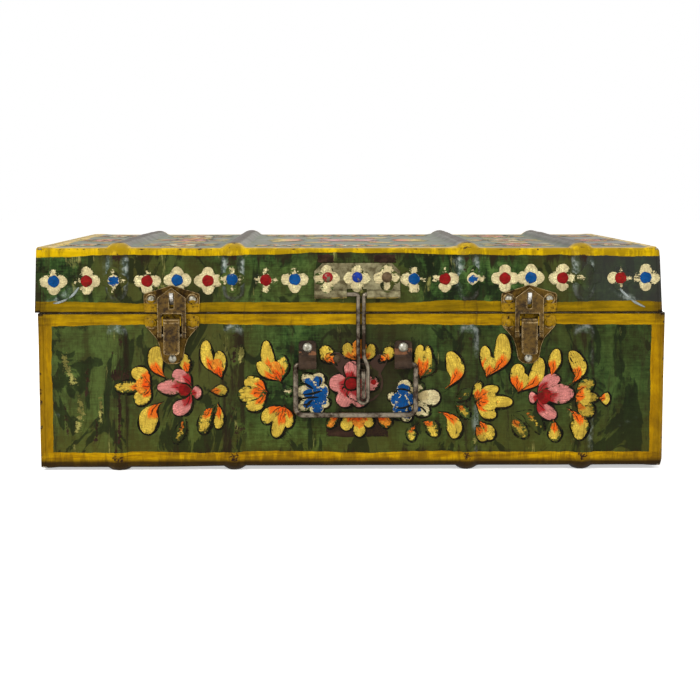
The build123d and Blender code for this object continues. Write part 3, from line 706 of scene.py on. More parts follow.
# Painted flowers: strokes of paint laid on the dented shells
print("stage: flowers")
strokeSet = {
    "thickness": 0.28 * mm,
    "wearLift": 0.03 * mm,
    "inkLift": 0.05 * mm,
    "petalLift": 0.15 * mm,
    "dotLift": 0.25 * mm,
    "topLift": 0.34 * mm,
    "crossLift": 0.0015 * mm,  # more for each stroke, so that strokes that cross don't lie in one plane
    "search": (30 * mm, 45 * mm),  # where a stroke starts looking for its face, and how far
    "inkMargin": 1.15,  # mm of ink round a petal, and how far it is shifted
    "inkShift": (0.45, -0.35),
    "frontGrid": (10, 6, 1.2, 1.5),  # fewest cells along and across, then a cell's size in mm
    "otherGrid": (7, 4, 1.4, 1.6),
}
faces = {
    "front": {"origin": (0, frontY, seamZ), "u": (1, 0, 0), "v": (0, 0, 1), "out": (0, -1, 0)},
    "back": {"origin": (0, backY, seamZ), "u": (-1, 0, 0), "v": (0, 0, 1), "out": (0, 1, 0)},
    "left": {"origin": (-sideX, middleY, seamZ), "u": (0, -1, 0), "v": (0, 0, 1), "out": (-1, 0, 0)},
    "right": {"origin": (sideX, middleY, seamZ), "u": (0, 1, 0), "v": (0, 0, 1), "out": (1, 0, 0)},
    "top": {"origin": (0, middleY, lidTop), "u": (1, 0, 0), "v": (0, 1, 0), "out": (0, 0, 1)},
}
surfaceTrees = {carrier: [meshTree(p.data) for p in pieces] for carrier, pieces in shells.items()}
surfaceTrees["body"].append(meshTree(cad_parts["staple_plate"].data))
surfaceTrees["lid"].append(meshTree(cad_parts["hasp_plate"].data))
paintOrder = list(flowerPaints)
flowerPaint = {c: [flowerMaterial(paint, c) for paint in paintOrder] for c in ("body", "lid")}


class PaintedFace:
    # gathers the strokes on one face of the body or the lid, in mm from the face's origin

    def __init__(self, carrier, face):
        self.carrier, self.face = carrier, face
        self.bm = bmesh.new()
        self.marks = {name: self.bm.verts.layers.float.new(name) for name in strokeMarks}
        self.laid = 0

    def layOn(self, u, v, lift):
        view = faces[self.face]
        out = Vector(view["out"])
        away, reach = strokeSet["search"]
        start = Vector(view["origin"]) + Vector(view["u"]) * u * mm + Vector(view["v"]) * v * mm + away * out
        hits = [tree.ray_cast(start, -out, reach) for tree in surfaceTrees[self.carrier]]
        hits = [h for h in hits if h[0]]
        if not hits:
            return start - (away - lift) * out
        nearest = min(hits, key=lambda h: h[3])
        return nearest[0] + out * lift / max(0.45, abs(nearest[1].dot(out)))

    def stroke(self, paint, tip, end, width, bend, worn, lift, tipShare=0.62, secondAt=0.5):
        tip, end = Vector(tip), Vector(end)
        along = end - tip
        aside = Vector((-along.y, along.x)).normalized()
        length = along.length
        fineness = strokeSet["frontGrid" if self.face == "front" else "otherGrid"]
        leastLong, leastWide, cellLong, cellWide = fineness
        longCuts = max(leastLong, round(length / cellLong))
        wideCuts = max(leastWide, round(width / cellWide))
        self.laid += 1
        lift += self.laid % 50 * strokeSet["crossLift"]
        slender = 1.15 + 0.28 * abs(bend)
        grid = bmesh.ops.create_grid(self.bm, x_segments=longCuts, y_segments=wideCuts, size=0.5)["verts"]
        seed = noise.noise(Vector((tip.x, tip.y, end.x)) * 0.37)
        for vert in grid:
            t = 1 - (1 - (vert.co.x + 0.5)) ** 1.5
            s = 2 * vert.co.y
            if tipShare == 0.5:
                t = 0.5 - 0.5 * math.cos(math.pi * (vert.co.x + 0.5))
                half = math.sin(math.pi * (vert.co.x + 0.5))
            elif t < tipShare:
                half = math.sin(0.5 * math.pi * t / tipShare) ** slender
            else:
                half = math.sqrt(max(0.0, 1 - ((t - tipShare) / (1 - tipShare)) ** 2))
            half = max(0.02, half * (1 + 0.07 * math.sin(9 * t + 20 * seed)))
            places = [min(1, max(0, at)) ** 0.85 for at in (t - 0.02, t, t + 0.02)]
            arch = [1.6 * bend * math.sin(math.pi * at) for at in places]
            centre = tip + along * t + aside * arch[1]
            way = along * 0.04 + aside * (arch[2] - arch[0])
            spot = centre + Vector((-way.y, way.x)).normalized() * s * half * width / 2
            vert[self.marks["inset"]] = min(1 - abs(s), 4 * t, 4 * (1 - t)) * min(1.0, half * 1.5)
            hand = 0.25 * s * (1 if seed > 0 else -1)
            vert[self.marks["second"]] = 1.15 * (secondAt - t) / 0.5 + 0.5 * (1 - abs(s)) - 0.15 + hand
            vert[self.marks["worn"]] = worn
            vert[self.marks["along"]] = t
            vert[self.marks["across"]] = s * half
            vert.co = self.layOn(spot.x, spot.y, lift)
        self.paintGrid(grid, paint)

    def paintGrid(self, grid, paint):
        for face in {f for vert in grid for f in vert.link_faces}:
            face.material_index = paintOrder.index(paint)
            face.smooth = True

    def patch(self, paint, centre, size, worn):
        # a square-cornered area
        grid = bmesh.ops.create_grid(self.bm, x_segments=14, y_segments=8, size=0.5)["verts"]
        self.laid += 1
        for vert in grid:
            s, t = 2 * vert.co.x, 2 * vert.co.y
            wobble = noise.noise(Vector((s * 2, t * 2, centre[0]))) * 0.8
            vert[self.marks["inset"]] = min(1 - abs(s), 1 - abs(t)) * 3
            vert[self.marks["second"]] = 2 * noise.noise(Vector((s, t, 5)))
            vert[self.marks["worn"]] = worn
            vert[self.marks["along"]] = 1.0
            u, v = (c + at * length / 2 + wobble for c, at, length in zip(centre, (s, t), size))
            vert.co = self.layOn(u, v, strokeSet["wearLift"])
        self.paintGrid(grid, paint)

    def petal(self, paint, tip, end, width, bend, worn):
        # a stroke of ink, then a smaller one of paint over it
        shift, margin = Vector(strokeSet["inkShift"]), strokeSet["inkMargin"]
        way = (Vector(end) - Vector(tip)).normalized() * margin * 0.8
        self.stroke("ink", Vector(tip) + shift - 1.6 * way, Vector(end) + shift + way, width + 2 * margin,
                    bend, 0.35 * worn, strokeSet["inkLift"])
        self.stroke(paint, tip, end, width, bend, worn, strokeSet["petalLift"])

    def dot(self, paint, centre, radius, worn, lift="dotLift"):
        centre = Vector(centre)
        self.stroke(paint, centre - Vector((radius, 0)), centre + Vector((radius, 0)), 2 * radius, 0, worn,
                    strokeSet[lift], tipShare=0.5, secondAt=-1)

    def finish(self, name):
        outward = Vector(faces[self.face]["out"])
        bmesh.ops.recalc_face_normals(self.bm, faces=self.bm.faces)
        self.bm.normal_update()
        flipped = [f for f in self.bm.faces if f.normal.dot(outward) < 0]
        bmesh.ops.reverse_faces(self.bm, faces=flipped)
        used = sorted({f.material_index for f in self.bm.faces})
        for face in self.bm.faces:
            face.material_index = used.index(face.material_index)
        materials = [flowerPaint[self.carrier][i] for i in used]
        piece = finishObject(name, self.bm, materials, self.carrier)
        film = piece.modifiers.new("film", "SOLIDIFY")
        film.thickness = strokeSet["thickness"]
        film.offset = -1
        return piece


# Body front, stroke by stroke: paint, then tip, end (mm from the middle and the seam), width, bend, wear
bodyFrontStrokes = [
    ("amber", [
        (-119.3, -42.6, -126, -21.7, 10.5, 2.8, 0.1), (-106.3, -40, -110, -26.5, 7.5, 0, 0.3),
        (-131, -47.5, -142.9, -38.3, 10, -1.5, 0.15), (-131, -47.8, -153.5, -48.2, 8, 0, 0.45),
        (-131, -48, -141.5, -57.1, 10, 1.5, 0.15), (-122.8, -58.5, -133, -79.5, 12.5, -2.6, 0.05),
    ]),
    ("ochre", [(-109.1, -67.4, -115.6, -85.2, 7.5, 0.8, 0.8)]),
    ("pink", [
        (-104.2, -48.5, -116.5, -40, 9, -1.8, 0.12), (-104, -50.5, -126.2, -49, 9.5, -0.8, 0.25),
        (-104.2, -52, -116.5, -64.6, 10, 1.8, 0.12), (-104.9, -52.4, -97.6, -51.6, 8, 0, 0.2),
    ]),
    ("amber", [
        (-84.8, -41.3, -94.2, -17.9, 8, 2.6, 0.15), (-84.8, -41.5, -86.4, -24.8, 7.2, -0.6, 0.2),
        (-46, -44.3, -45.4, -27.6, 7.6, -0.8, 0.5), (-46, -44.3, -55.2, -18.1, 8, 2, 0.15),
        (-46.2, -44, -60.6, -31.8, 7, 1.2, 0.25),
    ]),
    ("ochre", [(-91.6, -50.9, -80.6, -50.4, 6.8, 0, 0.25)]),
    ("amber", [
        (-55.2, -52.2, -69.5, -45, 9.5, -1.3, 0.2), (-55.4, -52.6, -68.5, -61.6, 9.5, 1.3, 0.25),
        (-55, -52.4, -73.4, -53.2, 11, 0, 0.4), (-87.2, -59.6, -96.9, -79.5, 8.8, -1.8, 0.5),
        (-87.2, -59.6, -87.4, -75.9, 6.4, 0.8, 0.25), (-43.9, -61.7, -56.7, -72.6, 8.6, -1.6, 0.15),
        (-43.9, -61.7, -41.6, -75.4, 6, 1.6, 0.15), (-43.9, -61.7, -49.6, -82, 8.6, 0, 0.15),
    ]),
    ("cream", [
        (-36.5, -49.5, -44.8, -52, 6.6, 0, 0.75), (-20, -52, -31.6, -40.4, 9, 0, 0.35),
        (-20, -50, -22.4, -39.4, 9.4, 0, 0.2), (-20, -52, -35.4, -52, 10, 0, 0.3),
        (-20, -54, -34, -63.4, 9, 0, 0.35), (-20, -54, -24, -67.4, 9, 0, 0.2),
        (-20, -54, -15.6, -62, 7, 0, 0.2), (-21, -51, -14.8, -49.6, 7, 0, 0.2),
    ]),
    ("amber", [(-9.8, -33.2, -18.2, -21.6, 9.4, 0.8, 0.35)]),
    ("orange", [(-9.8, -33.2, -15, -26, 6, 0.5, 0.4), (5, -30.5, 6, -17.2, 9, 0, 0.15)]),
    ("ochre", [(4.6, -30.5, -2, -19.6, 7.6, 2, 0.15), (5.6, -30.5, 13.6, -20.2, 6.6, -2, 0.15)]),
    ("pink", [
        (0.4, -46.5, 1.2, -31.6, 10.5, 0, 0.1), (0.4, -46.5, -14, -46, 12, 0, 0.08),
        (0.4, -46.5, -6.2, -61.4, 11.5, 0, 0.1), (0.4, -46.5, 8.2, -61.2, 12, 0, 0.15),
        (0.4, -46.5, 18.2, -46, 10.5, 0, 0.35),
    ]),
    ("amber", [(18.8, -31.6, 26.4, -22.4, 7.8, -0.8, 0.3)]),
    ("orange", [(18.8, -31.6, 23, -26.6, 5, -0.4, 0.4)]),
    ("amber", [(45.2, -42.2, 45.6, -21, 6.8, 0.6, 0.15)]),
    ("ochre", [(45.6, -42, 53.6, -30.2, 6.4, -1.4, 0.85)]),
    ("amber", [(45.4, -42.2, 49.8, -21.6, 5.6, -1.6, 0.2), (61.2, -50.2, 64, -25.6, 10.8, -3.8, 0.12)]),
    ("cream", [
        (35, -53, 35.4, -43.8, 8.2, 0, 0.25), (36, -53, 48, -47.4, 7.4, 0, 0.6),
        (41.5, -54.6, 58.4, -56.2, 10.4, 0, 0.08), (36, -58, 51.6, -66.4, 9, 0, 0.3),
        (34, -58, 37.4, -71.6, 8, 0, 0.3), (34, -56, 23.8, -54.6, 6, 0, 0.4),
    ]),
    ("orange", [(5, -67, 5.6, -75, 6.6, 0, 0.1)]),
    ("amber", [
        (5, -67.4, -4.2, -77.2, 8.4, -1.4, 0.12), (5, -68.4, 6, -81.6, 7.4, 0, 0.15),
        (5, -67.4, 13, -75.2, 7.2, 1.2, 0.2),
    ]),
    ("orange", [(-7.9, -64, -15, -75.6, 6, 0, 0.45), (15.6, -67.6, 25.2, -75, 8, 1, 0.35)]),
    ("amber", [
        (43.8, -73.4, 40.6, -84.6, 6.4, -1.6, 0.55), (43.8, -73.4, 55.4, -82, 8.4, 2.8, 0.5),
        (57.2, -65.4, 67.8, -82.9, 9.4, 3.2, 0.15),
    ]),
    ("ochre", [(68.1, -58.5, 77.8, -50.6, 6.4, 0, 0.85), (68.1, -58.5, 77.2, -68.4, 6.4, 0, 0.75)]),
    ("amber", [
        (81.1, -58, 84.2, -45, 6.4, 0, 0.35), (82, -58, 96.6, -49.4, 7.6, 0.8, 0.15),
        (82, -58.4, 95, -68.4, 8.6, -0.6, 0.15), (82, -58.2, 106, -58.8, 7.8, 0, 0.15),
        (88.9, -41.5, 87.4, -21.8, 6.8, 0, 0.15), (88.9, -41.8, 98.4, -13.8, 11, -3.4, 0.08),
    ]),
    ("ochre", [(82.4, -74.4, 89.4, -84, 8.6, 0, 0.25)]),
    ("amber", [
        (84.6, -71.7, 93.2, -83.3, 9.2, 0, 0.2), (109.7, -51.6, 110.6, -33.8, 9.4, 1, 0.08),
        (109.9, -51.6, 123.4, -29.4, 9.6, -3.2, 0.08), (131.5, -41.6, 134.8, -23.9, 7.8, 0, 0.1),
        (143, -47.8, 143.6, -25.2, 9.8, -3.6, 0.12),
    ]),
    ("pink", [
        (122.4, -54.2, 136.9, -43, 8.8, 1.8, 0.12), (122.4, -55.6, 134.8, -68.7, 9.4, -1.6, 0.12),
        (122, -54.8, 146, -52.8, 12.4, 0, 0.15), (123, -55.4, 116.9, -56.2, 7.4, 0, 0.15),
    ]),
    ("ochre", [(105.8, -66.4, 115.8, -81.9, 8.4, -0.8, 0.6), (105.8, -66.4, 125.4, -79.6, 9, 3.2, 0.85)]),
    ("amber", [(133, -71, 134.7, -85, 8.2, 0, 0.35), (141.6, -63.3, 149, -83.3, 10.8, 3, 0.3)]),
    ("ochre", [
        (147.2, -54.6, 159.4, -44.8, 9.4, 0.8, 0.4), (147.2, -54.8, 159.4, -66.9, 10, -0.8, 0.4),
        (147.4, -54.7, 162.4, -56.2, 6.4, 0, 0.35),
    ]),
    ("amber", [(163.2, -56.4, 170, -56.8, 7.6, 0, 0.15)]),
]
# hearts laid under the petals, where they run together: tip, end, width
heartStrokes = [
    ("crimson", [(-103.5, -50.2, -112.5, -50.6, 8.5), (121.5, -55, 131.5, -55.4, 11)]),
    ("orange", [
        (-130.5, -47.7, -140.5, -47.7, 11), (-54.5, -52.3, -66, -52, 13), (-45.6, -45, -51.5, -32, 9),
        (-84.4, -42.2, -88.2, -30, 8), (-43.6, -61, -48.2, -71, 8), (5, -31.4, 5.4, -22, 9.5),
        (5, -66.6, 5.2, -75, 9), (45.4, -43, 47.2, -31, 7),
    ]),
    ("amber", [
        (82.5, -58.4, 96, -58.6, 13), (109.6, -52, 114, -40, 9), (88.8, -42, 92.2, -29, 8),
        (146.8, -54.8, 157, -55.4, 12),
    ]),
    ("crimson", [(0.4, -51.5, 0.4, -41, 11)]),
]
# second layer, over the petals: cobalt on the cream flowers, and ink lines with a bend
cobaltStrokes = [
    (-21, -52, -30.6, -42.4, 5.4), (-20.5, -50, -22.2, -41.2, 6.4), (-20, -52.4, -31.6, -53.2, 5.6),
    (-20, -54, -31, -61.6, 5.6), (-20, -54, -22.6, -66.2, 7.2), (-20.5, -54.5, -16.4, -60, 5),
    (-25, -51.6, -14.6, -52.4, 9), (-22, -48, -20, -60, 9), (34, -57, 34.8, -46.4, 8.6),
    (36, -57, 26.2, -57.6, 10), (34, -56, 29.8, -67, 8), (34, -56, 38.4, -69.6, 8),
    (32, -57, 41.4, -57.4, 10.4), (41, -60, 46, -65, 3.6), (35, -52, 33, -66, 10),
]
inkLines = [
    (-34.6, -45.6, -24.6, -49.8, 1.5, 0.6), (-34.2, -52.9, -18.6, -50.9, 1.5, -0.8),
    (-35, -56.6, -20.8, -55.4, 1.4, 0.3), (-29.6, -65, -24.8, -56.8, 1.6, 0.8),
    (-33.4, -60.4, -26, -60, 1.2, 0), (-22, -41, -20.6, -48, 1.2, 1), (26.2, -60.4, 41, -59.8, 1.3, -1.6),
    (26.8, -52.4, 40.4, -52.2, 1.3, 1.4), (36, -61, 38.6, -70, 1.2, 0.6), (43, -61.5, 49.6, -66, 1.3, 0.8),
    (25, -66, 33, -71, 1.6, -1),
]
# bare and scuffed marks under the flowers
wearStrokes = [
    ("bare", [
        (-158, -40, -143, -42, 10, 1, 0.5), (-151, -44, -151.6, -92, 3.6, 0.4, 0.55),
        (-76, -22, -76, -34, 8, 0, 0.75), (-78, -72, -68, -78, 7, 0, 0.7),
        (-172, -24, -174, -62, 7, 0.8, 0.86), (-186, -52, -184, -88, 7, -0.8, 0.88),
        (-166, -66, -168, -90, 6, 0.5, 0.8),
    ]),
    ("scuff", [
        (-187, -23, -178, -50, 9, -1.2, 0.72), (-178, -50, -180, -84, 9, 1.4, 0.75),
        (-163, -49, -163.6, -76, 6, 0, 0.75), (-71, -20, -72, -34, 6, 0, 0.7),
        (84, -78, 80, -88, 5, 0, 0.7),
    ]),
    ("bare", [(132, -24, 134, -33, 6, 0, 0.6)]),
]

bodyFront = PaintedFace("body", "front")
# browned rectangle where an older plate was, below the handle
bodyFront.patch("bare", (4.3, -75.0), (40.6, 13.4), 0.2)
for paint, strokes in wearStrokes:
    for *ends, width, bend, worn in strokes:
        bodyFront.stroke(paint, ends[:2], ends[2:], width, bend, worn, strokeSet["wearLift"], tipShare=0.5)
for paint, strokes in heartStrokes:
    for *ends, width in strokes:
        bodyFront.petal(paint, ends[:2], ends[2:], width, 0, 0.2)
for paint, strokes in bodyFrontStrokes:
    for *ends, width, bend, worn in strokes:
        bodyFront.petal(paint, ends[:2], ends[2:], width, bend, worn)
for *ends, width in cobaltStrokes:
    bodyFront.stroke("cobalt", ends[:2], ends[2:], width, 0, 0.24, strokeSet["dotLift"], secondAt=0.1)
for *ends, width, bend in inkLines:
    bodyFront.stroke("ink", ends[:2], ends[2:], width, bend, 0.25, strokeSet["topLift"])
bodyFront.dot("ink", (0.4, -46.4), 5.0, 0.3)
bodyFront.dot("crimson", (0.4, -46.4), 3.9, 0.1, "topLift")
bodyFront.dot("crimson", (14.9, -45.3), 1.8, 0.1, "topLift")
# painted shade: a black dot on the sheet, seen through the lock plate's empty rivet hole
bodyFront.dot("ink", (19.4, -31.4), 1.9, 0, "topLift")  # empty rivet hole
bodyFront.finish("bodyFrontFlowers")


def blossom(face, centre, eye, size, worn):
    # four cream lobes round a dot; wear of the upper, left, lower and right lobes and of the dot
    centre = Vector(centre)
    for k, lobeWorn in enumerate(worn[:4]):
        way = Vector((math.cos((k + 1) * math.pi / 2), math.sin((k + 1) * math.pi / 2)))
        wobble = noise.noise(Vector((centre.x * 0.3, k, 0)))
        end = centre + way * 9.0 * size * (1 + 0.1 * wobble)
        lobeWorn = max(0.0, 0.76 * lobeWorn + 0.15 * wobble)
        face.stroke("cream", centre, end, 8.4 * size * (1 + 0.12 * wobble), 0, lobeWorn,
                    strokeSet["petalLift"], tipShare=0.45, secondAt=-1)
    if eye:
        face.dot(eye, centre, 3.8 * size, worn[4])


# lid band: x, height above the seam, eye, wear
lidBand = [
    (-192.2, 20.6, "cobalt", (0.9, 0.3, 0.1, 0.1, 0)), (-171, 20.8, "crimson", (0.3, 1.1, 0.3, 0.1, 0.1)),
    (-153.2, 21.2, "cobalt", (1.2, 1.5, 1.1, 1.2, 0.3)),
    (-131.9, 20.8, "crimson", (1.1, 0.3, 0.1, 0.3, 0)), (-112.4, 21.4, "cobalt", (0, 0, 0, 0.05, 0)),
    (-92.5, 21, "crimson", (0, 0, 0.05, 0.1, 0)), (-76.8, 22, "cobalt", (1, 0.9, 1.1, 1.1, 0.1)),
    (-55.1, 21.4, "crimson", (1, 1, 0.9, 1.1, 0.1)), (-36.3, 21.8, "cobalt", (1, 0.2, 0.1, 0.3, 0)),
    (-15.5, 22.4, None, (0.3, 0.6, 0.4, 0.3, 0)), (4, 22.6, None, (0.4, 0.1, 0.3, 0.4, 0)),
    (23.5, 22.6, None, (0.5, 0.4, 0.8, 0.7, 0)), (41.1, 22, "cobalt", (0.8, 0.2, 0.4, 1.15, 0.1)),
    (61.2, 22, "crimson", (1.2, 0.9, 0.1, 0.1, 0)), (79, 22.4, "cobalt", (1.5, 1.7, 1.4, 0.9, 0.5)),
    (100.2, 22.4, "crimson", (0.1, 0, 0.1, 0.05, 0)), (117.1, 22.8, "cobalt", (0, 0.05, 0, 0, 0)),
    (137.7, 22.6, "crimson", (0.2, 0.1, 0.2, 0.6, 0)), (154, 22.8, None, (1.8, 1.1, 1.6, 2, 0)),
    (175.6, 22.6, "crimson", (1.2, 0.1, 1.1, 1.2, 0.2)), (191.9, 22.8, "cobalt", (0.1, 0.9, 0.1, 0.3, 0)),
]
lidFront = PaintedFace("lid", "front")
for x, width in ((-16.3, 11), (22.1, 15)):
    lidFront.patch("bare", (x, 35.2), (width, 5.5), 0.3)
for x, height, eye, worn in lidBand:
    blossom(lidFront, (x, height), eye, 1, worn)
# painted highlights along the creases at the lid's ends
for points in (((-193, 6.5), (-183, 9.5), (-176, 17)), ((175, 16.5), (182, 9.5), (192, 3.5))):
    for start, end in zip(points, points[1:]):
        lidFront.stroke("creaseHighlight", start, end, 1.5, -0.4, 0.15, strokeSet["topLift"], 0.5, 0.2)
lidFront.finish("lidFrontFlowers")


def spray(face, centre, size, heart, tilt=0.0):
    # one big flower with triples to both sides and commas round it
    centre = Vector(centre)

    def at(radius, degrees):
        angle = math.radians(degrees + tilt)
        return centre + size * radius * Vector((math.cos(angle), math.sin(angle)))

    for k in range(5):
        face.petal(heart, at(0, 0), at(15, 90 + 72 * k), 12 * size, 0, 0.15)
    face.dot("ink", centre, 5 * size, 0.3)
    face.dot("amber" if heart == "pink" else "crimson", centre, 3.8 * size, 0.1, "topLift")
    for side in (0, 180):
        for swing, width in ((-22, 8.5), (0, 8), (22, 8.5)):
            face.petal("amber", at(21, side), at(39, side + swing), width * size, 0, 0.2)
    for corner in (48, 132, 228, 312):
        turn = 1 if corner in (48, 228) else -1
        face.petal("amber", at(20, corner), at(38, corner + 10 * turn), 9.5 * size, 2.8 * size * turn, 0.2)
        face.petal("ochre", at(24, corner - 26 * turn), at(36, corner - 22 * turn), 6 * size, 0, 0.35)


print("stage: other faces")
lidTopFlowers = PaintedFace("lid", "top")
for x, size, heart, other in (
    (-178, 0.55, "pink", "cream"), (-114, 0.8, "pink", "cream"), (0, 1.5, "pink", None),
    (114, 0.8, "cream", "pink"), (178, 0.55, "pink", "cream"),
):
    spray(lidTopFlowers, (x, 0), size, heart, 90 if other else 0)
    for y in (-78, 78) if other else ():
        spray(lidTopFlowers, (x, y), size * 0.9, other, 90)
for x in (-44, 0, 44):
    for y in (-92, 92):
        spray(lidTopFlowers, (x, y), 0.5, "cream")
lidTopFlowers.finish("lidTopFlowers")
for face in ("left", "right"):
    bodyEnd = PaintedFace("body", face)
    spray(bodyEnd, (0, -50), 1.0, "pink")
    for u in (-78, 78):
        spray(bodyEnd, (u, -50), 0.72, "cream")
    bodyEnd.finish(f"bodyFlowers_{face}")
    lidEnd = PaintedFace("lid", face)
    for k in range(-5, 6):
        blossom(lidEnd, (k * 20.5, 21.5), "cobalt" if k % 2 else "crimson", 1, (0.4, 0.1, 0.3, 0.1, 0))
    lidEnd.finish(f"lidFlowers_{face}")
bodyBack = PaintedFace("body", "back")
for u in (-114, 0, 114):
    spray(bodyBack, (u, -52), 0.85, "pink" if u == 0 else "cream")
for u in (-42, 42):
    spray(bodyBack, (u, -52), 0.5, "cream" if u < 0 else "pink", 45)
bodyBack.finish("bodyBackFlowers")
lidBack = PaintedFace("lid", "back")
for k in range(-9, 10):
    blossom(lidBack, (k * 20.6, 24.0), "cobalt" if k % 2 else "crimson", 0.9, (0.1, 0.4, 0.2, 0.3, 0))
lidBack.finish("lidBackFlowers")


# Metals: colours from clean to grimed, roughness, size of their patches (mm)
print("stage: hardware")
metalSet = {
    # brass under lacquer gone brown: dark gold, with painted shade in its corners; its edges are bright where
    # fingers rub it, and also as painted highlight
    "agedBrass": {
        "clean": "#5b4418", "dark": "#241808", "edge": "#a08a62", "rough": 0.42, "patch": 2.381,
        "metallic": 0.75,
    },
    # galvanised sheet gone dull: greenish grey with darker bloom
    "dullZinc": {"clean": "#857e5f", "dark": "#4e4630", "rough": 0.5, "patch": 4.545, "metallic": 0.8},
    # drawn steel wire: browned, with a soft grey shine
    "brownedWire": {"clean": "#7b7161", "dark": "#2a1f16", "rough": 0.38, "patch": 3.333, "metallic": 0.9},
    # oiled black iron: near-black brown, hardly metallic
    "strapIron": {"clean": "#3b2c20", "dark": "#17100a", "rough": 0.5, "patch": 4.167, "metallic": 0.1},
    # tinned rivet heads: pale and satin
    "rivetSteel": {"clean": "#a3a092", "dark": "#5d5743", "rough": 0.4, "patch": 2.857, "metallic": 0.75},
    # steel rubbed by the claws: the brightest metal of all
    "hookSteel": {"clean": "#d4d2cc", "dark": "#8c877c", "rough": 0.3, "patch": 3.846, "metallic": 0.9},
    # rolled steel leaves: grey with brown patches
    "hingeSteel": {"clean": "#8a8070", "dark": "#3d3026", "rough": 0.48, "patch": 3.846, "metallic": 0.8},
    # unpainted tinplate: pale grey, with large brownish clouds
    "insideTin": {"clean": "#a09a8a", "dark": "#776c5b", "rough": 0.42, "patch": 11.11, "metallic": 0.85},
    # tarnished tinplate: dull dark grey, dark also as painted shade where it shows in the gap at the seam
    "tinStrip": {"clean": "#6b6252", "dark": "#2a2218", "rough": 0.5, "patch": 8.333, "metallic": 0.7},
}
nookShade = "#120c05"


def metalMaterial(name, paints=(), label=""):
    # paints: colours brushed over the metal, each between two levels along an axis
    values = metalSet[name]
    material, tree = newMaterial(name + label)
    add = partial(addNode, tree)
    place = add("TexCoord", out="Object")
    patch = add("TexNoise", place, perMetre(values["patch"]), 6, 0.65)
    large = add("TexNoise", place, perMetre(5 * values["patch"]), 2)
    level = add("Math MULTIPLY_ADD", large, 0.7, patch)
    colour = add("ValToRGB", level, ramp=[(0.7, values["dark"]), (0.97, values["clean"])])
    metallic = values["metallic"]
    if "edge" in values:
        # edges lighter, partly where handled and partly as painted highlight; painted shade in its corners
        straight = add("NewGeometry", out="True Normal")
        turned = add("VectorMath DOT_PRODUCT", add("Bevel", 0.7 * mm, samples=8), straight)
        nook = add("AmbientOcclusion", named={"Distance": 3 * mm}, out="AO", samples=8)
        bright = add("Math LESS_THAN", turned, 0.97)
        bright = add("Math MULTIPLY", bright, add("MapRange", nook, 0.5, 0.8, 0, 1))
        bright = add("Math MULTIPLY", bright, add("MapRange", patch, 0.35, 0.55, 0, 1))
        colour = add("Mix RGBA", bright, colour, values["edge"])
    for axis, low, high, tint, worn in paints:
        xyz = add("SeparateXYZ", place).node.outputs
        at = add("Math MULTIPLY_ADD", patch, 3 * mm, xyz[axis])
        inside = add("Math GREATER_THAN", at, low + 1.5 * mm)
        inside = add("Math MULTIPLY", inside, add("Math LESS_THAN", at, high + 1.5 * mm))
        inside = add("Math MULTIPLY", inside, add("Math GREATER_THAN", patch, worn))
        inside = add("Math MULTIPLY", inside, add("Math LESS_THAN", xyz["Y"], frontY))
        shades = [(*[c * share for c in linearColour(tint)[:3]], 1) for share in (0.45, 1.0)]
        shaded = add("ValToRGB", patch, ramp=list(zip((0.35, 0.6), shades)))
        colour = add("Mix RGBA", inside, colour, shaded)
        metallic = add("Math MULTIPLY", add("Math SUBTRACT", 1, inside), metallic)
    # painted shade in the corners
    if "edge" in values:
        colour = add("Mix RGBA", add("MapRange", nook, 0.75, 0.35, 0, 0.8), colour, nookShade)
    rounded = add("Bevel", 0.3 * mm, samples=4)
    relief = {"Height": patch, "Strength": 0.45, "Distance": 0.15 * mm, "Normal": rounded}
    shader = add("BsdfPrincipled", named={
        "Base Color": colour, "Metallic": metallic, "Normal": add("Bump", named=relief),
        "Roughness": add("MapRange", patch, 0.3, 0.7, values["rough"] + 0.16, values["rough"] - 0.08),
        "Specular IOR Level": 0.12 if paints else 0.5,
    })
    add("OutputMaterial", shader)
    return material


lockPlateSet = {
    "brown": "#382820",
    "height": -46 * mm,  # middle of the painted part, from the seam
    "painted": (15.2 * mm, 16.2 * mm),  # how far out the paint lasts
    "fray": (3.333, 7 * mm),  # its ragged edge: size of the frays (mm), and how far they reach
}


def lockPlateMaterial():
    # steel plate painted over with the front, browned again at its ears and rim
    material, tree = newMaterial("overpaintedLockPlate")
    add = partial(addNode, tree)
    ground = addGround(tree, "body")
    place = add("TexCoord", out="Object")
    low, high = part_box("padlock_staple")
    centred = add("Mapping", place, (-(low.x + high.x) / 2, 0, -seamZ - lockPlateSet["height"]))
    away = add("VectorMath LENGTH", add("Mapping", centred, (0, 0, 0), (0, 0, 0), (1, 0, 1)))
    fraySize, frayReach = lockPlateSet["fray"]
    ragged = add("Math MULTIPLY_ADD", add("TexNoise", place, perMetre(fraySize), 5), frayReach, away)
    brown = add("MapRange", ragged, *lockPlateSet["painted"], 0, 1)
    colour = add("Mix RGBA", brown, ground["Color"], lockPlateSet["brown"])
    finishEnamel(tree, ground, colour, ground["Height"], enamelSet["relief"])
    return material


def dress(material, *nodes):
    for node in nodes:
        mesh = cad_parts[node].data
        mesh.materials.clear()
        mesh.materials.append(material)


insideTin = metalMaterial("insideTin")
for piece in shells["body"] + shells["lid"]:
    piece.data.materials.append(insideTin)
    piece.modifiers["sheet"].material_offset = 1
border = "#967200"  # yellow carried over the fittings along the seam
brass = metalMaterial("agedBrass")
catchBrass = metalMaterial("agedBrass", [(2, seamZ - 1 * mm, seamZ + 6.4 * mm, border, 0.4)], "_catch")
baseBrass = metalMaterial("agedBrass", [(2, seamZ - 8.4 * mm, seamZ + 1 * mm, border, 0.4)], "_base")
hookSteel = metalMaterial("hookSteel")
dress(brass, *[f"latch_{n}_{s}" for n in ("catch", "base", "lever", "claw") for s in bothSides])

